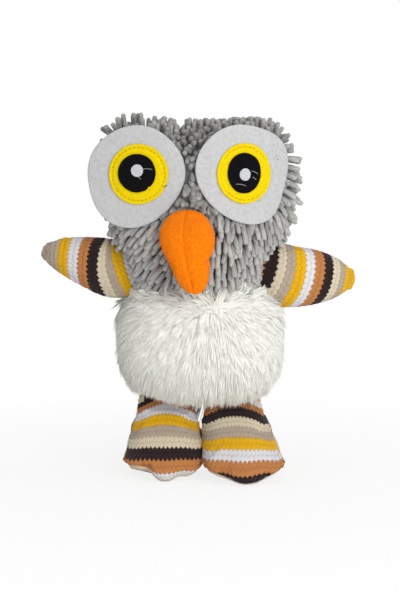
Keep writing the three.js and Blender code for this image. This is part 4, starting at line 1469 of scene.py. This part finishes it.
# %% Knit
knit, tree = new_material("acrylic_yarn_striped_knit")
counts = add_node(tree, "UVMap", {"uv_map": "knit"})
parts = add_node(tree, "SeparateXYZ", {}, {0: counts.outputs[0]}).outputs
wave = maths(tree, "SINE", maths(tree, "MULTIPLY", parts["X"], float(np.pi)))
scallop = maths(tree, "MULTIPLY_ADD", maths(tree, "ABSOLUTE", wave), 0.42, -0.26)
row = maths(tree, "ADD", parts["Y"], scallop)
cycle = maths(tree, "FLOORED_MODULO", maths(tree, "DIVIDE", row, 12.0), 1.0)
ramp = add_node(tree, "ValToRGB", {}, {"Fac": cycle})
ramp.color_ramp.interpolation = "CONSTANT"
stripes = ["#25171a", "#cdc0a7", "#aa9b8a", "#d8a40c", "#d2d0d3", "#b37542"]
stops = ramp.color_ramp.elements
for number, code in enumerate(stripes):
    stop = stops[number] if number < 2 else stops.new(number / len(stripes))
    stop.position, stop.color = number / len(stripes), colour(code)
# Painted shade: the low places of the stitch relief are darkened, as shade in the grooves of the
# yarn.
grooves = ranged(tree, shade_of(tree), 0.1, 0.85, 0.55, 1.04)
yarn = fibre_noise(tree, 700.0, 4.0)
tone = times(tree, ramp.outputs["Color"], grooves)
fibre_surface(tree, tone, 0.9, 0.1, 0.2, (yarn, 0.7, 0.0006))

# %% [markdown]
# Plush, felt, backing cloth and sewing thread are all matt fibre cloths in two close tones. The
# plush's noise is drawn out downwards, as its pile is brushed, and deep enough to catch light.
# Felt has fibres pressed flat at random, so its mottle is even and shallow. The backing cloths
# are what shows in gaps of the pile. Threads are smoother and darker than the felt they hold.

# %% Plush and felts


def soft_cloth(name, low, high, scale, sheen=0.1, shine=0.2, depth=0.0004, stretch=1.0, seam=False):
    """A matt fibre cloth: two tones mixed by a fine noise, which also raises the surface. With
    seam, the tone is multiplied by the piece's shade, painted shade along the crease of a seam."""
    material, tree = new_material(name)
    noise = fibre_noise(tree, scale, 5.0, 0.65, stretch)
    tone = two_tones(tree, noise, low, high, (0.3, 0.7))
    if seam:
        tone = times(tree, tone, shade_of(tree))
    fibre_surface(tree, tone, 0.95, sheen, shine, (noise, 0.5, depth))
    return material


plush = soft_cloth(
    "polyester_short_pile_plush", "#df6400", "#ff8b08", 800.0, 0.03, 0.1, 0.0012, 0.45, seam=True
)
pale_felt = soft_cloth("pressed_wool_felt_pale_grey", "#b2b2b2", "#c6c7c8", 350.0)
yellow_felt = soft_cloth("pressed_wool_felt_yellow", "#dabf04", "#eed206", 450.0, 0.03, 0.1)
black_felt = soft_cloth("pressed_wool_felt_black", "#050506", "#100f12", 500.0, 0.0, 0.1)
grey_felt = soft_cloth("pressed_wool_felt_grey", "#b2b4b6", "#c8cacc", 500.0)
backing = soft_cloth("woven_backing_cloth_grey", "#7d7b78", "#93918e", 300.0)
yellow_thread = soft_cloth("polyester_sewing_thread_dark_yellow", "#a88400", "#c49c04", 900.0)
pale_thread = soft_cloth("polyester_sewing_thread_pale", "#8e9094", "#b0b2b6", 900.0)
dark_thread = soft_cloth("polyester_sewing_thread_dark", "#17130f", "#2a241e", 900.0)
white_backing = soft_cloth("woven_backing_cloth_white", "#ececea", "#f8f8f4", 300.0)

# %% [markdown]
# ## Joining the frame
# Each piece now gets its finish, says which body it moves with and which solids it stands for.

# %% Finishes, bodies and replaced solids


def dress(piece, material, body, replaced=()):
    """Gives a piece its finish, its body and the solids that it stands for."""
    piece.data.materials.clear()
    piece.data.materials.append(material)
    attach(piece, body)
    if replaced:
        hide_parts(*replaced)


dress(head_cloth, backing, "torso", ["head_and_chest_skin", "body_filling"])
dress(belly_cloth, white_backing, "torso", ["belly_fur_skin"])
for piece in noodle_pieces:
    dress(piece, chenille, "torso")
for piece in fur_pieces:
    dress(piece, fur, "torso")
for side, wing in (("left", left_wing), ("right", right_wing)):
    dress(wing, knit, f"{side}_wing", [f"{side}_wing_skin", f"{side}_wing_filling"])
for side, boot in boots.items():
    leg = f"{side}_leg"
    dress(boot["front"], knit, leg, [f"{leg}_front_panel", f"{leg}_filling"])
    dress(boot["back"], knit, leg, [f"{leg}_back_panel"])
dress(beak, plush, "beak", ["beak_left_panel", "beak_right_panel", "beak_filling"])
for piece in stitch_pieces:
    dress(piece, yellow_thread, "torso")
dress(lint_pieces["pale"], pale_thread, "torso")
dress(lint_pieces["dark"], dark_thread, "torso")
# Each felt's material, slot, the end of its solid's name, and the felt under it
finishes = {
    "pale": (pale_felt, "pale_felt", "felt_disc", None),
    "yellow": (yellow_felt, "yellow_felt", "yellow_disc", "pale"),
    "black": (black_felt, "black_felt", "black_pupil", "yellow"),
    "dot": (grey_felt, "grey_felt", "pale_dot", "black"),
}
for (side, part), piece in felts.items():
    material, slot, node, under = finishes[part]
    dress(piece, material, "torso", [f"{side}_eye_{node}"])
    radius = felt_sizes[part][0]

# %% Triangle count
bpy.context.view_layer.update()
meshes = [piece.data for piece in bpy.data.objects if piece.type == "MESH"]
print("triangles", sum(len(mesh.loops) - 2 * len(mesh.polygons) for mesh in meshes))
